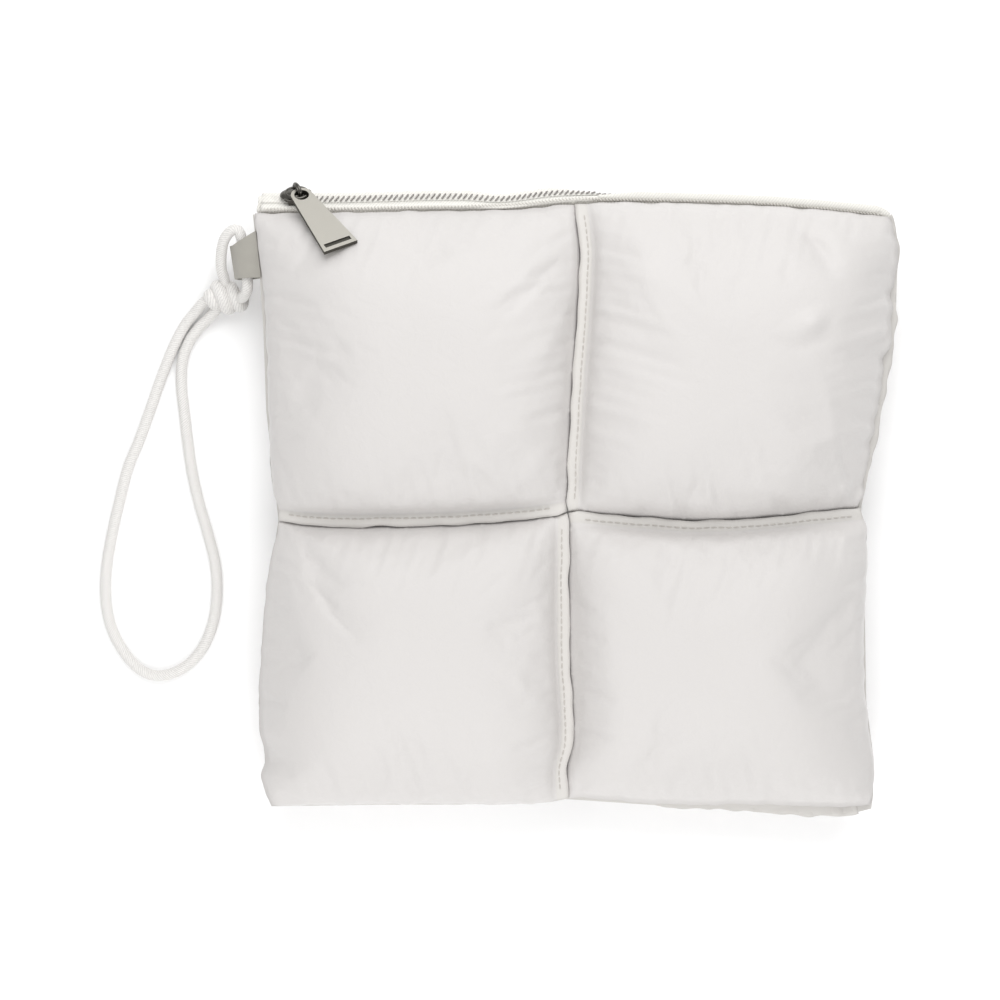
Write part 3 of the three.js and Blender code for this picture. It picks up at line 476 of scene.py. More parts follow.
@dataclass(frozen=True)
class SatinCloth:
    """Smooth, closely woven polyester over filling: soft broad highlights and a faint weave."""

    name: str
    colour: str
    roughness: float = 0.55
    sheen: float = 0.25
    thread_mm: float = 0.4
    crease_mm: float = 7.0
    cloud_mm: float = 45.0
    darkest: float = 0.975

    def make(self) -> bpy.types.Material:
        """Build the material.

        Returns:
            The material.
        """
        s = Shader(self.name)
        place = s.add("TexCoord").outputs["Object"]
        cloud = s.add("TexNoise", {"Vector": place, "Scale": 1 / (self.cloud_mm * MM), "Detail": 2.0})
        shade = s.add("MixRGB", {"Fac": cloud.outputs[0], "Color1": shaded(self.colour, self.darkest),
                                 "Color2": srgb(self.colour)})
        # The filling under it shows as slow clouds of tone. Threads both ways break up the satin's highlight,
        # and are drawn coarser than real ones, which are too fine to show
        warp = s.add("TexWave", {"Vector": place, "Scale": wave_scale(self.thread_mm), "Distortion": 0.6},
                     bands_direction="X")
        weft = s.add("TexWave", {"Vector": place, "Scale": wave_scale(self.thread_mm), "Distortion": 0.6},
                     bands_direction="Y")
        weave = s.add("Math", {0: warp.outputs["Fac"], 1: weft.outputs["Fac"]}, operation="ADD")
        creases = s.add("TexNoise", {"Vector": place, "Scale": 1 / (self.crease_mm * MM), "Detail": 5.0,
                                     "Roughness": 0.55, "Distortion": 0.6})
        threads = s.add("Bump", {"Height": weave.outputs[0], "Strength": 0.12, "Distance": 0.05 * MM})
        relief = s.add("Bump", {"Height": creases.outputs[0], "Strength": 0.35, "Distance": 0.9 * MM,
                                "Normal": threads.outputs[0]})
        cloth = s.add("BsdfPrincipled", {
            "Base Color": shade.outputs[0], "Roughness": self.roughness, "Sheen Weight": self.sheen,
            "Sheen Roughness": 0.4, "Normal": relief.outputs[0]})
        return s.surface(cloth)


@dataclass(frozen=True)
class WovenTape:
    """Herringbone polyester zip tape: dull, with fine ribs that lean both ways, and painted shade in the
    hollows between them.
    """

    name: str = "zip tape, woven polyester, dull"
    colour: str = "E7E5DF"
    rib_mm: float = 1.1

    def make(self) -> bpy.types.Material:
        """Build the material.

        Returns:
            The material.
        """
        s = Shader(self.name)
        place = s.add("TexCoord").outputs["Object"]
        slant = s.add("Mapping", {"Vector": place, "Rotation": (0.0, 0.0, math.radians(38))})
        ribs = s.add("TexWave", {"Vector": slant.outputs[0], "Scale": wave_scale(self.rib_mm),
                                 "Distortion": 1.0})
        # The ribs are drawn coarser than real ones, so that they show. Fuzz between them keeps the tape dull
        fuzz = s.add("TexNoise", {"Vector": place, "Scale": 1 / (0.6 * MM), "Detail": 3.0})
        both = s.add("Math", {0: ribs.outputs["Fac"], 1: fuzz.outputs[0]}, operation="ADD")
        relief = s.add("Bump", {"Height": both.outputs[0], "Strength": 0.6, "Distance": 0.15 * MM})
        # The hollows between the ribs are painted darker: painted shade that follows the ribs' relief.
        tone = s.add("MixRGB", {"Fac": ribs.outputs["Fac"], "Color1": shaded(self.colour, 0.86),
                                "Color2": srgb(self.colour)})
        tape = s.add("BsdfPrincipled", {"Base Color": tone.outputs[0], "Roughness": 0.85,
                                        "Sheen Weight": 0.2, "Normal": relief.outputs[0]})
        return s.surface(tape)


@dataclass(frozen=True)
class Metal:
    """Plated metal: mirror-like where polished, with a soft brushed grain where satin."""

    name: str
    colour: str
    roughness: float
    grain_mm: float = 0.3
    grain: float = 0.1

    def make(self) -> bpy.types.Material:
        """Build the material.

        Returns:
            The material.
        """
        s = Shader(self.name)
        place = s.add("TexCoord").outputs["Object"]
        # Grain drawn out along the brushing breaks the reflections into soft streaks
        stretched = s.add("Mapping", {"Vector": place, "Scale": (1.0, 0.25, 1.0)})
        noise = s.add("TexNoise", {"Vector": stretched.outputs[0], "Scale": 1 / (self.grain_mm * MM),
                                   "Detail": 4.0})
        rough = s.add("MapRange", {"Value": noise.outputs[0], "To Min": self.roughness * 0.8,
                                   "To Max": self.roughness * 1.25})
        relief = s.add("Bump", {"Height": noise.outputs[0], "Strength": self.grain, "Distance": 0.02 * MM})
        metal = s.add("BsdfPrincipled", {"Base Color": srgb(self.colour), "Metallic": 1.0,
                                         "Roughness": rough.outputs[0], "Normal": relief.outputs[0]})
        return s.surface(metal)


@dataclass(frozen=True)
class GrainedLeather:
    """Coated leather: a pebbled grain under a soft, slightly uneven gloss, in a grey that is painted shade on
    the pale leather.
    """

    name: str = "tab, coated leather, soft grain"
    # The colour is painted darker grey than the pale leather, as painted shade on the tab.
    colour: str = "A6A39B"
    pebble_mm: float = 0.8

    def make(self) -> bpy.types.Material:
        """Build the material.

        Returns:
            The material.
        """
        s = Shader(self.name)
        place = s.add("TexCoord").outputs["Object"]
        # The pebbles scatter the light, and the stain keeps the coating from looking printed
        pebbles = s.add("TexVoronoi", {"Vector": place, "Scale": 1 / (self.pebble_mm * MM)})
        stain = s.add("TexNoise", {"Vector": place, "Scale": 1 / (5 * MM), "Detail": 4.0})
        tone = s.add("MixRGB", {"Fac": stain.outputs[0], "Color1": shaded(self.colour, 0.85),
                                "Color2": srgb(self.colour)})
        relief = s.add("Bump", {"Height": pebbles.outputs["Distance"], "Strength": 0.4,
                                "Distance": 0.12 * MM})
        leather = s.add("BsdfPrincipled", {"Base Color": tone.outputs[0], "Roughness": 0.48,
                                           "Normal": relief.outputs[0]})
        return s.surface(leather)


@dataclass(frozen=True)
class KnitCord:
    """Round cord in a fine knitted cover: small slanted ribs that run round it."""

    name: str = "cord, fine knitted cover"
    colour: str = "E3E1DE"
    rib_mm: float = 0.9

    def make(self) -> bpy.types.Material:
        """Build the material.

        Returns:
            The material.
        """
        s = Shader(self.name)
        route = s.add("TexCoord").outputs["UV"]
        slanted = s.add("Mapping", {"Vector": route, "Rotation": (0.0, 0.0, math.radians(32))})
        ribs = s.add("TexWave", {"Vector": slanted.outputs[0], "Scale": wave_scale(self.rib_mm),
                                 "Distortion": 3.5, "Detail": 3.0, "Detail Scale": 2.0})
        fuzz = s.add("TexNoise", {"Vector": route, "Scale": 1 / (1.6 * MM), "Detail": 4.0})
        both = s.add("Math", {0: ribs.outputs["Fac"], 1: fuzz.outputs[0]}, operation="ADD")
        relief = s.add("Bump", {"Height": both.outputs[0], "Strength": 0.6, "Distance": 0.22 * MM})
        # The hollows between the ribs hold shade, which mottles the cord
        hollow = s.add("MapRange", {"Value": both.outputs[0], "From Min": 0.5, "From Max": 1.1})
        tone = s.add("MixRGB", {"Fac": hollow.outputs[0], "Color1": shaded(self.colour, 0.8),
                                "Color2": srgb(self.colour)})
        cord = s.add("BsdfPrincipled", {"Base Color": tone.outputs[0], "Roughness": 0.7,
                                        "Sheen Weight": 0.2, "Normal": relief.outputs[0]})
        return s.surface(cord)


@dataclass(frozen=True)
class Plain:
    """A matt surface with nothing on it: a painted table, or thread too fine to show its twist."""

    name: str
    colour: str
    roughness: float = 0.9

    def make(self) -> bpy.types.Material:
        """Build the material.

        Returns:
            The material.
        """
        s = Shader(self.name)
        place = s.add("TexCoord").outputs["Object"]
        noise = s.add("TexNoise", {"Vector": place, "Scale": 1 / (1.5 * MM), "Detail": 3.0})
        relief = s.add("Bump", {"Height": noise.outputs[0], "Strength": 0.05, "Distance": 0.05 * MM})
        plain = s.add("BsdfPrincipled", {"Base Color": srgb(self.colour), "Roughness": self.roughness,
                                         "Normal": relief.outputs[0]})
        return s.surface(plain)


class Finishes:
    """Every material of the scene, made once."""

    def __init__(self) -> None:
        """Make the materials."""
        self.pad = SatinCloth("pad cloth, satin polyester, soft sheen", "CCC9C7").make()
        self.margin = SatinCloth("margin cloth, satin polyester, pressed flat", "CCC9C5", 0.6).make()
        self.shell = SatinCloth("pouch cloth, satin polyester, plain", "C9C6C2", 0.62).make()
        self.tape = WovenTape().make()
        self.teeth = Metal("zip teeth, plated, slightly dull", "979390", 0.38).make()
        self.slider = Metal("slider, dark nickel plate, polished", "5A5854", 0.18).make()
        self.puller = Metal("puller, nickel plate, satin", "B9B6AE", 0.42, grain=0.2).make()
        # Painted shade: a darker copy of the nickel for the puller's side walls and recess floor.
        self.recess = Metal("puller recess, nickel plate, darkened", "55534E", 0.6).make()
        self.tab = GrainedLeather().make()
        self.cord = KnitCord().make()
        # The braid's thread is painted greyer than the tape, as painted shade along the band beside the pad.
        self.braid = Plain("braid thread, matt polyester, greyer", "CFCCC6", 0.8).make()
        self.thread = Plain("thread, matt polyester", "BDB9B3", 0.8).make()
        self.table = Plain("table, white matt paint", "FCFCFC").make()


@dataclass
class Studio:
    """Camera, lights and table."""

    camera_height_mm: float = 1128.0
    camera_x_mm: float = -28.05
    camera_y_mm: float = 0.28
    lens_mm: float = 88.0
    sensor_mm: float = 36.0
    key_power: float = 6.5
    fill_power: float = 4.9
    light_size: float = 0.9
    key_place: tuple[float, float, float] = (0.05, 0.68, 0.68)
    fill_place: tuple[float, float, float] = (-0.05, -0.7, 0.6)
    table_half_mm: float = 3000.0
    sky: float = 0.65

    def camera(self) -> None:
        """Set the camera straight above the bag, at the photo's viewing angle."""
        data = bpy.data.cameras.new("camera")
        data.lens = self.lens_mm
        data.sensor_width = self.sensor_mm
        data.clip_start = 0.05
        obj = bpy.data.objects.new("camera", data)
        obj.location = Vector((self.camera_x_mm, self.camera_y_mm, self.camera_height_mm)) * MM
        bpy.context.scene.collection.objects.link(obj)
        bpy.context.scene.camera = obj

    def light(self, name: str, place: tuple, power: float, size: float) -> None:
        """Add a soft square light that faces the bag.

        Args:
            name: Name of the light.
            place: Where it stands, in metres.
            power: Its power in watts.
            size: Length of its side in metres.
        """
        data = bpy.data.lights.new(name, "AREA")
        data.energy = power
        data.size = size
        obj = bpy.data.objects.new(name, data)
        obj.location = place
        obj.rotation_euler = (-Vector(place)).to_track_quat("-Z", "Y").to_euler()
        bpy.context.scene.collection.objects.link(obj)

    def build(self, finishes: Finishes) -> None:
        """Add the table, the lights and the sky.

        Args:
            finishes: The scene's materials.
        """
        half = self.table_half_mm
        corners = np.array([[-half, -half, 0], [half, -half, 0], [half, half, 0], [-half, half, 0]])
        floor = mesh_object("table", corners, [[0, 1, 2, 3]])
        floor.data.materials.append(finishes.table)
        self.light("key", self.key_place, self.key_power, self.light_size)
        self.light("fill", self.fill_place, self.fill_power, self.light_size)
        world = bpy.data.worlds.new("sky")
        world.use_nodes = True
        background = world.node_tree.nodes["Background"]
        background.inputs[0].default_value = (1.0, 1.0, 1.0, 1.0)
        background.inputs[1].default_value = self.sky
        scene = bpy.context.scene
        scene.world = world
        scene.view_settings.view_transform = "Standard"
        scene.view_settings.look = "None"


@dataclass
class Tube:
    """A round cord along a line of points."""

    name: str
    path: np.ndarray
    radius: float = 2.5
    sides: int = 16
    closed: bool = False

    def build(self, material: bpy.types.Material) -> bpy.types.Object:
        """Make the tube, with u along it and v round it in metres.

        Args:
            material: Its finish.

        Returns:
            The tube, which doesn't ride on anything yet.
        """
        p = self.path
        count = len(p)
        step = np.roll(p, -1, 0) - np.roll(p, 1, 0) if self.closed else np.gradient(p, axis=0)
        tangent = step / np.linalg.norm(step, axis=1)[:, None]
        normal = np.cross(tangent[0], [0, 0, 1.0])
        rings, run, travelled = [], [], 0.0
        angles = np.linspace(0, 2 * math.pi, self.sides, endpoint=False)
        for k in range(count):
            normal = normal - tangent[k] * normal.dot(tangent[k])
            normal /= np.linalg.norm(normal)
            across = np.cross(tangent[k], normal)
            ring = np.cos(angles)[:, None] * normal + np.sin(angles)[:, None] * across
            rings.append(p[k] + self.radius * ring)
            travelled += np.linalg.norm(p[k] - p[k - 1]) if k else 0.0
            run.append(travelled)
        vertices = np.vstack(rings)
        faces, corners = [], []
        girth = 2 * math.pi * self.radius
        for k in range(count if self.closed else count - 1):
            after = (k + 1) % count
            ahead = run[k] + np.linalg.norm(p[after] - p[k])
            for j in range(self.sides):
                turn = (j + 1) % self.sides
                faces.append([k * self.sides + j, k * self.sides + turn, after * self.sides + turn,
                              after * self.sides + j])
                near, far = girth * j / self.sides, girth * (j + 1) / self.sides
                corners += [(run[k] * MM, near * MM), (run[k] * MM, far * MM), (ahead * MM, far * MM),
                            (ahead * MM, near * MM)]
        if not self.closed:
            for start, flip in ((0, False), ((count - 1) * self.sides, True)):
                cap = [start + j for j in range(self.sides)]
                faces.append(cap if flip else cap[::-1])
                corners += [(0.0, 0.0)] * self.sides
        obj = mesh_object(self.name, vertices, faces)
        layer = obj.data.uv_layers.new(name="route")
        layer.data.foreach_set("uv", np.array(corners).ravel())
        obj.data.materials.append(material)
        return obj


@dataclass
class WristStrap:
    """The wrist cord, the short loop through the tab, and the knot that joins them."""

    diameter: float = 5.0
    knot_centre: tuple[float, float, float] = (-153.5, 93.2, 8.4)
    knot_turn: float = -4.0
    knot_half: tuple[float, float, float] = (10.6, 8.0, 7.0)
    knot_wraps: float = 2.5
    knot_swell: float = 0.85
    knot_lean: float = 1.5
    step: float = 1.5

    def knot_line(self) -> np.ndarray:
        """The line of the knot's fat wraps, which lean and close in at both ends.

        Returns:
            Its points, one row each.
        """
        t = np.linspace(0, 1, 150)
        turns = 2 * math.pi * self.knot_wraps * t
        thick = self.diameter / 2 + self.knot_swell
        full = np.sin(math.pi * t) ** 0.35
        reach = np.array(self.knot_half) - thick
        line = np.column_stack([reach[0] * (2 * t - 1) + self.knot_lean * np.sin(turns) * full,
                                -reach[1] * full * np.sin(turns), reach[2] * full * np.cos(turns)])
        x, y = turned(line[:, 0], line[:, 1], -self.knot_turn)
        return np.column_stack([x, y, line[:, 2]]) + np.array(self.knot_centre)

    def build(self, finishes: Finishes) -> None:
        """Args:
            finishes: The scene's materials.
        """
        radius = self.diameter / 2
        knot = Tube("wrist knot", self.knot_line(), radius + self.knot_swell).build(finishes.cord)
        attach(knot, Body.BAG.value)
        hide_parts("wrist_knot")
        for name, route, node, pieces in (("wrist cord", WRIST_ROUTE, "wrist_cord", [knot]),
                                          ("tab loop", TAB_ROUTE, "tab_cord_loop", [])):
            path = catmull(route, self.step)
            cord = Tube(name, path, radius).build(finishes.cord)
            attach(cord, Body.BAG.value)
            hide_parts(node)


@dataclass
class Stitches:
    """Short threads laid on a surface, gathered into one mesh."""

    name: str
    length: float = 2.5
    radius: float = 0.24
    vertices: list = field(default_factory=list)
    faces: list = field(default_factory=list)

    def lay(self, centre: np.ndarray, direction: np.ndarray, up: np.ndarray) -> None:
        """Lay one stitch, a flattened spindle.

        Args:
            centre: Its middle.
            direction: The way it runs.
            up: Away from the surface it lies on.
        """
        direction = direction / np.linalg.norm(direction)
        side = np.cross(up, direction)
        side /= np.linalg.norm(side)
        normal = np.cross(direction, side)
        start = len(self.vertices)
        sides = 6
        angles = np.linspace(0, 2 * math.pi, sides, endpoint=False)
        stations = ((-0.5, 0.35), (-0.3, 0.9), (0.0, 1.0), (0.3, 0.9), (0.5, 0.35))
        for at, share in stations:
            for a in angles:
                offset = self.radius * share * (math.cos(a) * side * 1.2 + math.sin(a) * normal)
                self.vertices.append(centre + direction * at * self.length + offset)
        self.faces += [[start + k for k in reversed(face)] for face in ring_faces(len(stations), sides)]

    def build(self, material: bpy.types.Material) -> bpy.types.Object:
        """Make the mesh and let it ride on the bag.

        Args:
            material: The thread's finish.

        Returns:
            The piece.
        """
        obj = mesh_object(self.name, np.array(self.vertices), self.faces)
        obj.data.materials.append(material)
        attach(obj, Body.BAG.value)
        return obj


@dataclass(frozen=True)
class Quarter:
    """One square of the weave. A horizontal strip lies on top along X, and dives under the next strip."""

    name: str
    side_x: int
    side_y: int
    horizontal: bool

    def peek(self, x: np.ndarray, y: np.ndarray) -> tuple[np.ndarray, np.ndarray]:
        """How far the back's edge shows past the pad, across and up, at places in the weave."""
        across = along(LEFT_PEEK if self.side_x < 0 else RIGHT_PEEK, y / HALF)
        up = along(BOTTOM_PEEK if self.side_y < 0 else NO_PEEK, x / HALF)
        return HALF * across, HALF * up

    def points(self, u: np.ndarray, v: np.ndarray, peek: float) -> tuple[np.ndarray, np.ndarray]:
        """Places in the weave.

        Args:
            u: Share of the way from the outer edge to the seam, across.
            v: The same, up.
            peek: Share of the peek that is taken off.

        Returns:
            X and Y of each place.
        """
        nominal_x = self.side_x * HALF * (1 - u)
        nominal_y = self.side_y * HALF * (1 - v)
        over_x, over_y = self.peek(nominal_x, nominal_y)
        edge_x = outer_x(self.side_x, nominal_y) - self.side_x * peek * over_x
        edge_y = outer_y(self.side_y, nominal_x) - self.side_y * peek * over_y
        seam_x = HALF * along(LOWER_SEAM if self.side_y < 0 else UPPER_SEAM, nominal_y / HALF)
        seam_y = HALF * along(LEFT_SEAM if self.side_x < 0 else RIGHT_SEAM, nominal_x / HALF)
        x = edge_x + (seam_x - edge_x) * u + self.side_x * u * SEAM_GAP / 2
        y = edge_y + (seam_y - edge_y) * v + self.side_y * v * SEAM_GAP / 2
        return x, y


QUARTERS = (Quarter("top", -1, 1, True), Quarter("right", 1, 1, False),
            Quarter("bottom", 1, -1, True), Quarter("left", -1, -1, False))


@dataclass
class Pad:
    """One padded strip: its pillow, its flat stitched margin and the tongue under its neighbour."""

    quarter: Quarter
    face: Face
    cells: int
    base_gather_mm: float = 0.22
    gather_length_mm: float = 11.0
    gather_reach_mm: float = 11.0
    groove_mm: float = 0.9
    overlap_mm: float = 1.0
    stray_mm: float = 0.3
    stray_right_mm: float = 1.0
    stray_end_mm: float = 0.25
    stray_length_mm: float = 17.0
    stray_reach_mm: float = 5.0
    seam_shoulder_mm: float = 36.0
    seam_foot_mm: float = 1.6
    least_mm: float = 0.3
    lap_wave_mm: float = 0.35
    lap_wave_length_mm: float = 26.0
    hem_wave_mm: float = 0.35
    hem_wave_length_mm: float = 22.0
    groove_width_mm: float = 0.9
    sink_reach_mm: float = 1.2
    skin_reach_mm: float = 6.0
    skin_gap_mm: float = 0.15
    stitch_pitch_mm: float = 3.3
    pressure: float = 2.5
    slack: float = 0.012
    frames: int = 20
    held_mm: float = 3.0
    most_move_mm: float = 5.0

    def grid(self) -> None:
        """Lay out the pad's points, and its distances from every side."""
        q = self.quarter
        count = self.cells + 1
        lines = np.linspace(0, 1, count)
        u, v = np.meshgrid(lines, lines)
        self.peek = 1.0 if self.face is Face.FRONT else 0.3
        self.x, self.y = q.points(u, v, self.peek)
        self.from_side = np.abs(self.x - self.x[:, :1])
        self.from_end = np.abs(self.y - self.y[:1, :])
        self.to_seam_x = np.abs(self.x[:, -1:] - self.x)
        self.to_seam_y = np.abs(self.y[-1:, :] - self.y)
        self.to_free = self.to_seam_y if q.horizontal else self.to_seam_x
        self.to_dive = self.to_seam_x if q.horizontal else self.to_seam_y
        self.free_place = self.x.copy() if q.horizontal else self.y.copy()

    def ruffle(self, rng: np.random.Generator) -> None:
        """Let the pad's outer edges stray, and its free margin lap over its neighbour's sunken edge.

        Args:
            rng: Where the waves' phases come from.
        """
        q = self.quarter
        side_x = np.exp(-self.from_side / self.stray_reach_mm) * wobble(self.y, self.stray_length_mm, rng)
        side_y = np.exp(-self.from_end / self.stray_reach_mm) * wobble(self.x, self.stray_length_mm, rng)
        over = self.overlap_mm + self.lap_wave_mm * wobble(self.free_place, self.lap_wave_length_mm, rng)
        lap = np.clip(1 - self.to_free / MARGIN, 0, 1) * over * np.clip(self.to_dive / 4, 0, 1)
        stray = self.stray_right_mm if q.name == "right" else self.stray_mm
        self.x += q.side_x * (stray * side_x - (not q.horizontal) * lap)
        self.y += q.side_y * (self.stray_end_mm * side_y - q.horizontal * lap)

    def dents(self) -> np.ndarray:
        """Work out the front's dents.

        Returns:
            Their depth at each point, as a share of the crown.
        """
        depth = np.zeros_like(self.x)
        if self.face is Face.BACK:
            return depth
        for place_x, place_y, length, width, turn, amount in FRONT_DENTS:
            ahead, aside = turned(self.x - place_x * HALF, self.y - place_y * HALF, turn)
            p, q = ahead / (length * HALF), aside / (width * HALF)
            depth += amount * np.exp(-2 * (p * p + q * q))
        return depth

    def gathers(self, rng: np.random.Generator) -> np.ndarray:
        """Short gathers that run in from the sewn sides and fade out.

        Args:
            rng: Where the waves' phases come from.

        Returns:
            The height that they add at each point.
        """
        q = self.quarter
        dive_place = self.y if q.horizontal else self.x
        sides = {"side": (self.from_side, self.y, 0.0), "end": (self.from_end, self.x, 0.0),
                 "free": (self.to_free, self.free_place, MARGIN), "dive": (self.to_dive, dive_place, 0.0)}
        total = np.zeros_like(self.x)
        for side, (distance, place, foot) in sides.items():
            past = np.clip(distance - foot, 0, None)
            fade = np.exp(-past / self.gather_reach_mm) * np.clip(past / 3.0, 0, 1)
            height = np.full_like(place, self.base_gather_mm)
            for pad, where, middle, reach, amount in GATHERS:
                if self.face is Face.FRONT and (pad, where) == (q.name, side):
                    height += amount * np.exp(-2 * ((place - middle) / reach) ** 2)
            total += height * fade * wobble(place + 0.3 * past, self.gather_length_mm, rng)
        return total

    def folds(self) -> np.ndarray:
        """Work out the front's single folds and creases.

        Returns:
            The height that they add at each point.
        """
        total = np.zeros_like(self.x)
        for place_x, place_y, length, width, turn, height in FOLDS:
            ahead, aside = turned(self.x - place_x, self.y - place_y, turn)
            p, q = ahead / length, aside / width
            total += height * np.exp(-2 * p * p - q * q)
        return total

    def heights(self, rng: np.random.Generator) -> tuple[np.ndarray, np.ndarray]:
        """Heights of the pad's faces above the plane of the side seams.

        Args:
            rng: Where the waves' phases come from.

        Returns:
            Heights of its outer face and of its underside.
        """
        q = self.quarter
        base = swell(self.x, self.y)
        hem_x = 0.0 if q.horizontal else OUTER_MARGIN
        hem_y = OUTER_MARGIN if q.horizontal else 0.0
        foot_x = self.seam_foot_mm if q.horizontal else MARGIN
        foot_y = MARGIN if q.horizontal else self.seam_foot_mm
        across = rise(self.from_side - hem_x) * rise(self.to_seam_x - foot_x, self.seam_shoulder_mm)
        up = rise(self.from_end - hem_y) * rise(self.to_seam_y - foot_y, self.seam_shoulder_mm)
        crown = FRONT_CROWN if self.face is Face.FRONT else BACK_CROWN
        flat = base + PAD_LIFT + MARGIN_THICKNESS
        sink = np.exp(-self.to_dive / self.sink_reach_mm) * (MARGIN_THICKNESS + LAYER_GAP)
        hem = np.clip(1 - self.to_free / MARGIN, 0, 1)
        wave = self.hem_wave_mm * hem * wobble(self.free_place, self.hem_wave_length_mm, rng)
        groove = self.groove_mm * np.exp(-((self.to_free - MARGIN) / self.groove_width_mm) ** 2)
        body = across * up
        top = flat - sink + wave - groove + crown * body * (1 - self.dents())
        top = top + self.gathers(rng) * np.clip(3 * body, 0, 1)
        skin = np.clip(np.minimum(self.from_side, self.from_end) / self.skin_reach_mm, 0, 1)
        under = base + self.skin_gap_mm + (PAD_LIFT - self.skin_gap_mm) * skin
        return top, np.minimum(under, top - self.least_mm)

    def simulate(self, top: np.ndarray) -> np.ndarray:
        """Blow the pad's outer cloth up from inside, with its sewn edges held.

        Args:
            top: Heights before the simulation.

        Returns:
            Points of the cloth after it, in weave coordinates.
        """
        flat = np.dstack([self.x, self.y, top]).reshape(-1, 3)
        count = self.cells + 1
        cloth = mesh_object(f"cloth {self.quarter.name}", flat, grid_faces(count, count, flip=self.flipped))
        to_margin = np.clip(self.to_free - MARGIN, 0, None)
        held = np.minimum.reduce([self.from_side, self.from_end, self.to_dive, to_margin])
        group = cloth.vertex_groups.new(name="held")
        weights = np.clip(1 - held.ravel() / self.held_mm, 0, 1)
        for index, weight in enumerate(weights):
            if weight > 0:
                group.add([index], float(weight), "REPLACE")
        modifier = cloth.modifiers.new("cloth", "CLOTH")
        s = modifier.settings
        s.quality = 6
        s.mass = 0.15
        s.tension_stiffness = s.compression_stiffness = 12.0
        s.shear_stiffness = 4.0
        s.bending_stiffness = 0.04
        s.tension_damping = s.compression_damping = 8.0
        s.vertex_group_mass = "held"
        s.use_pressure = True
        s.uniform_pressure_force = self.pressure
        s.shrink_min = -self.slack
        s.effector_weights.gravity = 0.0
        modifier.collision_settings.use_collision = False
        modifier.point_cache.frame_start = 1
        modifier.point_cache.frame_end = self.frames
        scene = bpy.context.scene
        for number in range(1, self.frames + 1):
            scene.frame_set(number)
        done = cloth.evaluated_get(bpy.context.evaluated_depsgraph_get())
        moved = np.empty(count * count * 3)
        done.data.vertices.foreach_get("co", moved)
        scene.frame_set(1)
        bpy.data.objects.remove(cloth, do_unlink=True)
        moved = moved.reshape(-1, 3) / MM
        shift = moved - flat
        size = np.linalg.norm(shift, axis=1)[:, None]
        limit = self.most_move_mm * np.tanh(size / self.most_move_mm)
        LOG.info("cloth %s moved %.1f mm at most", self.quarter.name, float(size.max()))
        return (flat + shift * limit / np.maximum(size, 1e-6)).reshape(count, count, 3)

    @property
    def flipped(self) -> bool:
        """Whether the grid's faces turn the other way, so that they point out."""
        return self.quarter.side_x * self.quarter.side_y < 0

    def tongue(self) -> tuple[np.ndarray, list]:
        """The thin end of the strip, tucked under the next pad.

        Returns:
            Its points and its faces.
        """
        q = self.quarter
        beyond = Quarter(q.name, -q.side_x if q.horizontal else q.side_x,
                         q.side_y if q.horizontal else -q.side_y, q.horizontal)
        long_way = np.linspace(TONGUE_INSET / HALF, 0.995, 24)
        narrow_way = np.linspace(0.06, 0.94, 16)
        u, v = np.meshgrid(long_way, narrow_way) if q.horizontal else np.meshgrid(narrow_way, long_way)
        x, y = beyond.points(u, v, self.peek)
        base = swell(x, y) + LAYER_GAP
        top = np.dstack([x, y, base + TONGUE]).reshape(-1, 3)
        bottom = np.dstack([x, y, base]).reshape(-1, 3)
        return np.vstack([top, bottom]), slab_faces(*u.shape, flip=beyond.side_x * beyond.side_y < 0)

    def build(self, finishes: Finishes, stitches: Stitches) -> bpy.types.Object:
        """Make the strip and its stitches.

        Args:
            finishes: The scene's materials.
            stitches: The mesh that the margin's stitches are laid in.

        Returns:
            The piece.
        """
        rng = np.random.default_rng(SEED + 10 * QUARTERS.index(self.quarter) + self.face.value)
        self.grid()
        top, under = self.heights(rng)
        self.ruffle(rng)
        cloth = np.dstack([self.x, self.y, top])
        if self.face is Face.FRONT:
            cloth = self.simulate(top)
        if self.face is Face.FRONT:
            cloth[..., 2] = np.maximum(cloth[..., 2] + self.folds(), under + self.least_mm)
        if self.face is Face.BACK:
            cloth[..., 2] = np.minimum(cloth[..., 2], CROSSING[2] - 0.05)
        count = self.cells + 1
        lower = np.dstack([self.x, self.y, under])
        vertices = np.vstack([cloth.reshape(-1, 3), lower.reshape(-1, 3)])
        faces = slab_faces(count, count, flip=self.flipped)
        extra, more = self.tongue()
        faces += [[len(vertices) + k for k in quad] for quad in more]
        vertices = np.vstack([vertices, extra])
        if self.face is Face.BACK:
            vertices[:, 2] *= -1
            faces = [quad[::-1] for quad in faces]
        obj = mesh_object(f"{self.face.name.lower()} pad {self.quarter.name}", vertices + CROSSING, faces)
        obj.data.materials.append(finishes.pad)
        obj.data.materials.append(finishes.margin)
        flat = (self.to_free < MARGIN + 0.2).ravel()
        for polygon in obj.data.polygons:
            corners = polygon.vertices
            if max(corners) < count * count and all(flat[k] for k in corners):
                polygon.material_index = 1
        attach(obj, Body.BAG.value)
        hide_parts(f"{self.face.name.lower()}_strip_{self.quarter.name}")
        self.stitch(cloth, stitches)
        return obj

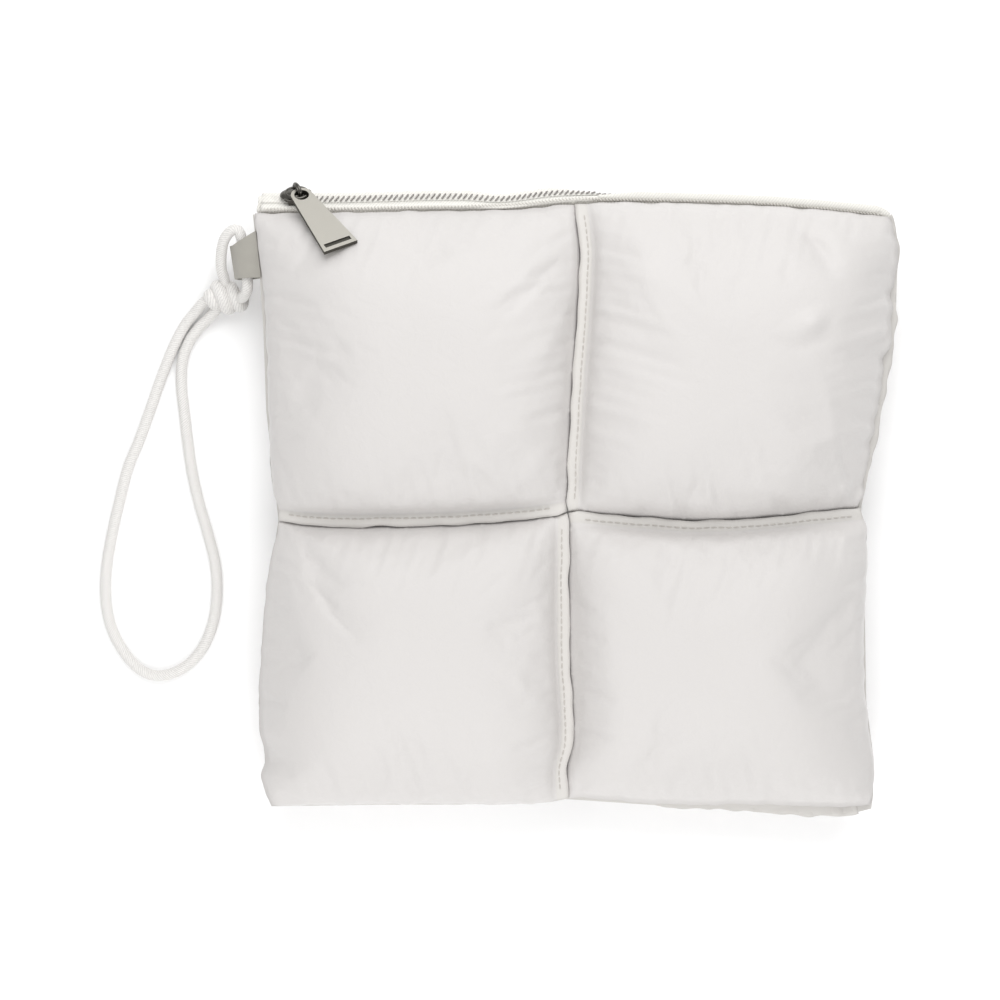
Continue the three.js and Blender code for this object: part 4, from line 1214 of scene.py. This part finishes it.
    def stitch(self, cloth: np.ndarray, stitches: Stitches) -> None:
        """Run a line of stitches along the free margin.

        Args:
            cloth: Grid of points on the pad's outer face.
            stitches: The mesh that they are laid in.
        """
        size = self.face.value
        if self.quarter.horizontal:
            row = int(np.argmin(np.abs(self.to_free[:, self.cells // 2] - MARGIN * 0.55)))
            line = cloth[row, 3:-3]
        else:
            column = int(np.argmin(np.abs(self.to_free[self.cells // 2, :] - MARGIN * 0.55)))
            line = cloth[3:-3, column]
        line = line * np.array([1, 1, size]) + CROSSING
        run = run_along(line)
        for at in np.arange(2, run[-1] - 2, self.stitch_pitch_mm):
            centre = np.array([np.interp(at, run, line[:, k]) for k in range(3)])
            ahead = np.array([np.interp(at + 1, run, line[:, k]) for k in range(3)])
            stitches.lay(centre + np.array([0, 0, 0.1 * size]), ahead - centre, np.array([0, 0, 1.0]))


@dataclass
class Zip:
    """The zip along the mouth: two tapes, their teeth and the sewn band beside them."""

    finishes: Finishes
    tape_thickness: float = 0.6
    tape_tuck: float = 6.0
    front_bend: float = 1.2
    back_bend: float = 3.0
    end_inset: float = 4.0
    slider_clear: float = 5.5
    last_tooth: float = 5.0
    flat_half: float = 5.0
    split_half: float = 1.3
    tooth_pitch: float = 2.4
    tooth_length: float = 2.2
    tooth_radius: float = 0.4
    tooth_slant: float = 0.5
    tooth_reach: float = 0.85
    braid_pitch: float = 1.5
    slider_from_edge: float = 20.5
    hidden_from: float = 0.1

    def __post_init__(self) -> None:
        """Work out where along X the tapes start and end, and where the teeth start."""
        left, right = (float(outer_x(side, np.array(HALF))) for side in (-1, 1))
        self.start, self.end = left + self.end_inset, right - self.end_inset
        self.first_tooth = left + self.slider_from_edge + self.slider_clear

    def section(self, x: float) -> tuple[np.ndarray, np.ndarray, float, float, float]:
        """The zip's cross-section.

        Args:
            x: Place along X.

        Returns:
            Its middle and its direction across in Y and Z, the mouth's Y, and a tape's levels at the mouth
            and at its hidden edge.
        """
        mouth = float(outer_y(1, np.array(x)))
        at = np.array(x / HALF)
        tilt = math.radians(float(along(ZIP_LINE, at, 3)))
        middle = np.array([mouth + float(along(ZIP_LINE, at, 1)) * MOUTH_HALF,
                           float(along(ZIP_LINE, at, 2)) * MOUTH_HALF])
        lying = LAYER_GAP + self.tape_thickness / 2
        level = float(swell(np.array(x), np.array(mouth))) + lying
        tuck = float(swell(np.array(x), np.array(mouth - self.tape_tuck))) + lying
        return middle, np.array([-math.cos(tilt), math.sin(tilt)]), mouth, level, tuck

    def tape_line(self, x: float, side: int) -> np.ndarray:
        """The line of one tape in its cross-section.

        Args:
            x: Place along X.
            side: 1 for the front, -1 for the back.

        Returns:
            Points in Y and Z, from its hidden edge to its toothed edge.
        """
        middle, across, mouth, level, tuck = self.section(x)
        flat = middle + across * side * self.flat_half
        bend = self.front_bend if side > 0 else self.back_bend
        foot = np.array([mouth, side * level])
        curve = bezier((foot, foot + np.array([bend, 0]), flat + across * side * bend, flat), 8)
        edge = middle + across * side * self.split_half
        return np.vstack([[mouth - self.tape_tuck, side * tuck], curve, edge])

    def tape(self, side: int) -> None:
        """Build one tape.

        Args:
            side: 1 for the front, -1 for the back.
        """
        places = np.linspace(self.start, self.end, 150)
        tops, bottoms = [], []
        for x in places:
            line = self.tape_line(x, side)
            step = np.gradient(line, axis=0)
            normal = np.column_stack([-step[:, 1], step[:, 0]])
            normal /= np.linalg.norm(normal, axis=1)[:, None]
            for rows, amount in ((tops, 0.5), (bottoms, -0.5)):
                moved = line + normal * amount * self.tape_thickness
                rows.append(np.column_stack([np.full(len(moved), x), moved]))
        name = Face(side).name.lower()
        obj = slab(f"zip tape {name}", tops, bottoms, self.finishes.tape, flip=side < 0)
        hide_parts(f"zip_tape_{name}")

    def teeth(self, side: int) -> None:
        """Build one row of slanted teeth.

        Args:
            side: 1 for the front, -1 for the back.
        """
        name = Face(side).name.lower()
        row = Stitches(f"zip teeth {name}", length=self.tooth_length, radius=self.tooth_radius)
        slant = np.array([-self.tooth_slant, 0, 0])
        for x in np.arange(self.first_tooth, self.end - self.last_tooth, self.tooth_pitch):
            middle, across, *_ = self.section(x)
            face = np.array([0, across[1], -across[0]])
            way = np.array([0, *across])
            lift = self.tape_thickness / 2 + (1.0 if x < self.hidden_from * HALF else 0.5)
            centre = np.array([x, *middle]) + (way + slant) * side * self.tooth_reach + face * lift
            row.lay(centre + CROSSING, way + slant, face)
        obj = row.build(self.finishes.teeth)
        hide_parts(f"zip_teeth_{name}")

    def ground(self) -> None:
        """Lay the pale strip that shows between the teeth."""
        places = np.linspace(self.start, self.end, 160)
        tops = []
        for x in places:
            middle, across, *_ = self.section(x)
            face = np.array([across[1], -across[0]])
            tops.append([[x, *(middle + across * reach + face * (self.tape_thickness / 2 + 0.35))]
                         for reach in (-2.0, -0.7, 0.7, 2.0)])
        slab("zip ground", tops, np.array(tops) - np.array([0, 0.2, 0.4]), self.finishes.tape)

    def facing(self) -> None:
        """Roll the front tape's sewn edge over the teeth, right of where they show."""
        places = np.linspace(self.hidden_from * HALF, self.end + 4.5, 94)
        tops = []
        for k, x in enumerate(places):
            over = max(x - self.end + 3.5, 0.0)
            line = self.tape_line(x, 1)[1:]
            mouth = line[0, 0]
            grow = min(k / 12, 1.0)
            high = line[:, 1].max()
            foot = np.array([mouth + 0.5, np.interp(mouth + 0.5, line[:, 0], line[:, 1]) + 0.45])
            crest, lip = np.array([mouth + 2.4, high + 1.4]), np.array([mouth + 3.4 + 1.5 * grow, high + 0.2])
            bent = bezier((foot, crest, lip), 10) - over**2 * np.array([0.035, 0.045])
            tops.append(np.column_stack([np.full(10, x), bent]))
        slab("zip facing", tops, np.array(tops) - np.array([0, 0.1, 0.5]), self.finishes.tape)

    def band(self) -> None:
        """Sew the two rows of slanted stitches that show as a braid along the front tape."""
        braid = Stitches("zip braid", length=2.1, radius=0.36)
        for row, (past, slant) in enumerate(((0.5, 0.9), (1.9, -0.9))):
            for x in np.arange(self.start + 1.5 + 0.7 * row, self.end - 1, self.braid_pitch):
                line = self.tape_line(x, 1)[1:]
                mouth = line[0, 0]
                centre, ahead = (np.array([x, mouth + at, np.interp(mouth + at, line[:, 0], line[:, 1])])
                                 for at in (past, past + 0.4))
                step = ahead - centre
                up = np.array([0, -step[2], step[1]])
                up /= np.linalg.norm(up)
                way = step / np.linalg.norm(step) + np.array([slant, 0, 0])
                lift = self.tape_thickness / 2 + (0.12 if x < self.hidden_from * HALF else 0.75)
                braid.lay(centre + up * lift + CROSSING, way, up)
        braid.build(self.finishes.braid)

    def folded_end(self) -> None:
        """Fold the crumpled ends of the tapes over, left of the slider."""
        places = np.linspace(self.start - 1.5, self.start + 11.0, 26)
        spread = np.linspace(0, 9, 12)
        tops = []
        for k, x in enumerate(places):
            within = max(x, self.start)
            line = self.tape_line(within, 1)[1:]
            middle, across, *_ = self.section(within)
            face = np.array([across[1], -across[0]])
            low = line[1] + np.array([0, 0.7])
            high = middle - across * 2.6 + face * 0.9
            crest = middle + across * 1.5 + face * 1.3
            ragged = 0.5 * wobble(x + spread, 7.0, np.random.default_rng(SEED + 1))
            crumple = 0.45 * wobble(spread + 1.3 * k, 6.0, np.random.default_rng(SEED + 2))
            points = bezier((low, crest, high), len(spread)) + face * crumple[:, None]
            at_end = x in (places[0], places[-1])
            tops.append(np.column_stack([np.full(len(spread), x) + ragged * at_end, points]))
        slab("zip tape end", tops, np.array(tops) - np.array([0, 0.25, 0.5]), self.finishes.tape)

    def build(self) -> None:
        """Build the whole zip but its slider."""
        for side in (1, -1):
            self.tape(side)
            self.teeth(side)
        self.band()
        self.ground()
        self.facing()
        self.folded_end()


@dataclass(frozen=True)
class Refined:
    """A hard CAD piece shown with rounded edges."""

    node: str
    body: Body
    slot: str
    edge_mm: float
    weld_mm: float = 0.01
    facet_degrees: float = 2.0
    sharp_degrees: float = 38.0

    def build(self, material: bpy.types.Material) -> bpy.types.Object:
        """Copy the piece, join its facets and round its edges.

        Args:
            material: Its finish.

        Returns:
            The piece.
        """
        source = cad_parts[self.node]
        obj = source.copy()
        obj.data = source.data.copy()
        for key in list(obj.keys()):
            del obj[key]
        obj.name = self.node.replace("_", "-")
        obj.parent = None
        obj.data.materials.clear()
        obj.data.materials.append(material)
        bpy.context.scene.collection.objects.link(obj)
        weld = obj.modifiers.new("weld", "WELD")
        weld.merge_threshold = self.weld_mm * MM
        flat = obj.modifiers.new("flat", "DECIMATE")
        flat.decimate_type = "DISSOLVE"
        flat.angle_limit = math.radians(self.facet_degrees)
        bevel = obj.modifiers.new("edges", "BEVEL")
        bevel.width = self.edge_mm * MM
        bevel.segments = 2
        bevel.limit_method = "ANGLE"
        bevel.angle_limit = math.radians(self.sharp_degrees)
        even = obj.modifiers.new("even", "WEIGHTED_NORMAL")
        even.mode = "FACE_AREA"
        even.weight = 100
        obj.data.polygons.foreach_set("use_smooth", [True] * len(obj.data.polygons))
        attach(obj, self.body.value)
        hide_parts(self.node)
        return obj


def darken_puller(obj: bpy.types.Object, material: bpy.types.Material) -> None:
    """Paint the puller's sides and the floor of its recess darker, as painted shade.

    Args:
        obj: The puller.
        material: The darker metal that paints their shade.
    """
    obj.data.materials.append(material)
    face = max(obj.data.polygons, key=lambda polygon: polygon.area * max(polygon.normal.z, 0))
    up, level = face.normal.copy(), face.center.dot(face.normal)
    # Sunken faces and side walls get the darker metal, as painted shade.
    for polygon in obj.data.polygons:
        sunk = polygon.normal.dot(up) > 0.99 and polygon.center.dot(up) < level - 0.3 * MM
        if sunk or abs(polygon.normal.dot(up)) < 0.5:
            polygon.material_index = 1


@dataclass
class SliderTop:
    """The slider's domed back, its crown, and the stout ring round the crown's foot."""

    hinge: tuple[float, float, float] = (-118.78, 138.79, 32.4)
    tilt: float = 45.0
    puller_turn: float = 60.0
    crown_radius: float = 2.6
    crown_wire: float = 0.85
    foot_radii: tuple[float, float] = (4.9, 3.9)
    foot_wire: float = 0.95
    dome: tuple[float, float, float] = (6.6, 4.5, 2.0)
    dome_below: float = 2.4

    def ring(self, name: str, first: np.ndarray, second: np.ndarray, centre: np.ndarray, wire: float,
             material: bpy.types.Material) -> None:
        """Add one closed ring of wire.

        Args:
            name: Name of the piece.
            first: From its centre to its edge, in the slider's own frame.
            second: The same, a quarter turn on.
            centre: Its centre.
            wire: Radius of the wire.
            material: Its finish.
        """
        t = np.linspace(0, 2 * math.pi, 56, endpoint=False)[:, None]
        line = np.cos(t) * first + np.sin(t) * second + centre
        shown = Tube(name, self.place(line), wire, sides=12, closed=True).build(material)
        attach(shown, Body.BAG.value)

    def place(self, points: np.ndarray) -> np.ndarray:
        """Tilt points of the slider's own frame into the bag's."""
        a = math.radians(self.tilt)
        tip = np.array([[1, 0, 0], [0, math.cos(a), math.sin(a)], [0, -math.sin(a), math.cos(a)]])
        return points @ tip.T + np.array(self.hinge)

    def build(self, material: bpy.types.Material) -> None:
        """Make the pieces.

        Args:
            material: Their finish.
        """
        turn = math.radians(-self.puller_turn)
        way = np.array([math.cos(turn), math.sin(turn), 0.0])
        up = np.array([0, 0, 1.0])
        self.ring("slider crown", self.crown_radius * 1.25 * way, self.crown_radius * up,
                  np.array([0, 0.6, 0]), self.crown_wire, material)
        self.ring("slider foot", np.array([self.foot_radii[0], 0, 0]), np.array([0, self.foot_radii[1], 0]),
                  np.array([-0.4, 0.2, -1.5]), self.foot_wire, material)
        round_it = np.linspace(0, 2 * math.pi, 40, endpoint=False)
        u, v = np.meshgrid(round_it, np.linspace(0.08, math.pi / 2, 12))
        shape = np.dstack([np.cos(u) * np.sin(v), np.sin(u) * np.sin(v), np.cos(v)]) * np.array(self.dome)
        points = self.place(shape.reshape(-1, 3) - np.array([1.5, 0, self.dome_below]))
        dome = mesh_object("slider dome", points, ring_faces(*u.shape))
        dome.data.materials.append(material)
        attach(dome, Body.BAG.value)


@dataclass
class Ruffle:
    """The pouch's seam allowance, gathered by its stitching, where it shows past the pads."""

    width: float = 6.0
    past: float = 0.7
    thickness: float = 1.5
    stray: float = 0.55
    stray_length: float = 20.0
    lift: float = 0.8
    lift_length: float = 12.0

    def build(self, finishes: Finishes) -> None:
        """Run one gathered strip down the upper right side and one along the right of the bottom.

        Args:
            finishes: The scene's materials.
        """
        rng = np.random.default_rng(SEED)
        down = np.linspace(0.97, 0.0, 200) * HALF
        over = np.linspace(0.25, 0.95, 150) * HALF
        for name, line in (("right", np.column_stack([outer_x(1, down), down])),
                           ("bottom", np.column_stack([over, outer_y(-1, over)]))):
            step = np.gradient(line, axis=0)
            out = np.column_stack([-step[:, 1], step[:, 0]]) / np.linalg.norm(step, axis=1)[:, None]
            out *= 1 if name == "right" else -1
            fade = np.sin(math.pi * np.linspace(0.04, 0.96, len(line))) ** 0.4
            run = run_along(line)
            stray = self.stray * wobble(run, self.stray_length, rng)
            lift = self.lift * wobble(run, self.lift_length, rng)
            tops = []
            for share in np.linspace(0, 1, 6):
                reach = -self.width + share * (self.width + fade * (self.past + stray))
                level = self.thickness / 2 + FLANGE_HALF * (1 - share) + share * lift
                tops.append(np.column_stack([line + out * reach[:, None], level]))
            top = np.array(tops)
            bottom = top - np.array([0, 0, self.thickness])
            slab(f"seam {name}", top, bottom, finishes.shell, flip=True)


def dress_shell(finishes: Finishes) -> None:
    """Give the pouch's own cloth its finish."""
    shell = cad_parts["pouch_shell"]
    shell.data.materials.clear()
    shell.data.materials.append(finishes.shell)


def main() -> None:
    """Build the scene in order and report each piece."""
    logging.basicConfig(level=logging.INFO)
    finishes = Finishes()
    studio = Studio()
    studio.camera()
    WristStrap().build(finishes)
    LOG.info("wrist strap built")
    seams = Stitches("margin stitches")
    for face in Face:
        for quarter in QUARTERS:
            cells = FRONT_CELLS if face is Face.FRONT else BACK_CELLS
            Pad(quarter, face, cells=cells).build(finishes, seams)
            LOG.info("%s pad %s built", face.name.lower(), quarter.name)
    seams.build(finishes.thread)
    Zip(finishes).build()
    LOG.info("zip built")
    Refined("zip_slider", Body.BAG, "slider_nickel", 0.22).build(finishes.slider)
    LOG.info("slider built")
    puller = Refined("zip_puller", Body.PULLER, "puller_nickel", 0.25).build(finishes.puller)
    darken_puller(puller, finishes.recess)
    LOG.info("puller built")
    Refined("side_tab", Body.BAG, "tab_leather", 0.3).build(finishes.tab)
    LOG.info("tab built")
    SliderTop().build(finishes.slider)
    LOG.info("slider's dome, crown and ring built")
    dress_shell(finishes)
    LOG.info("pouch dressed")
    Ruffle().build(finishes)
    LOG.info("gathered seams built")
    studio.build(finishes)
    LOG.info("studio built")


if __name__ == "__main__":
    main()
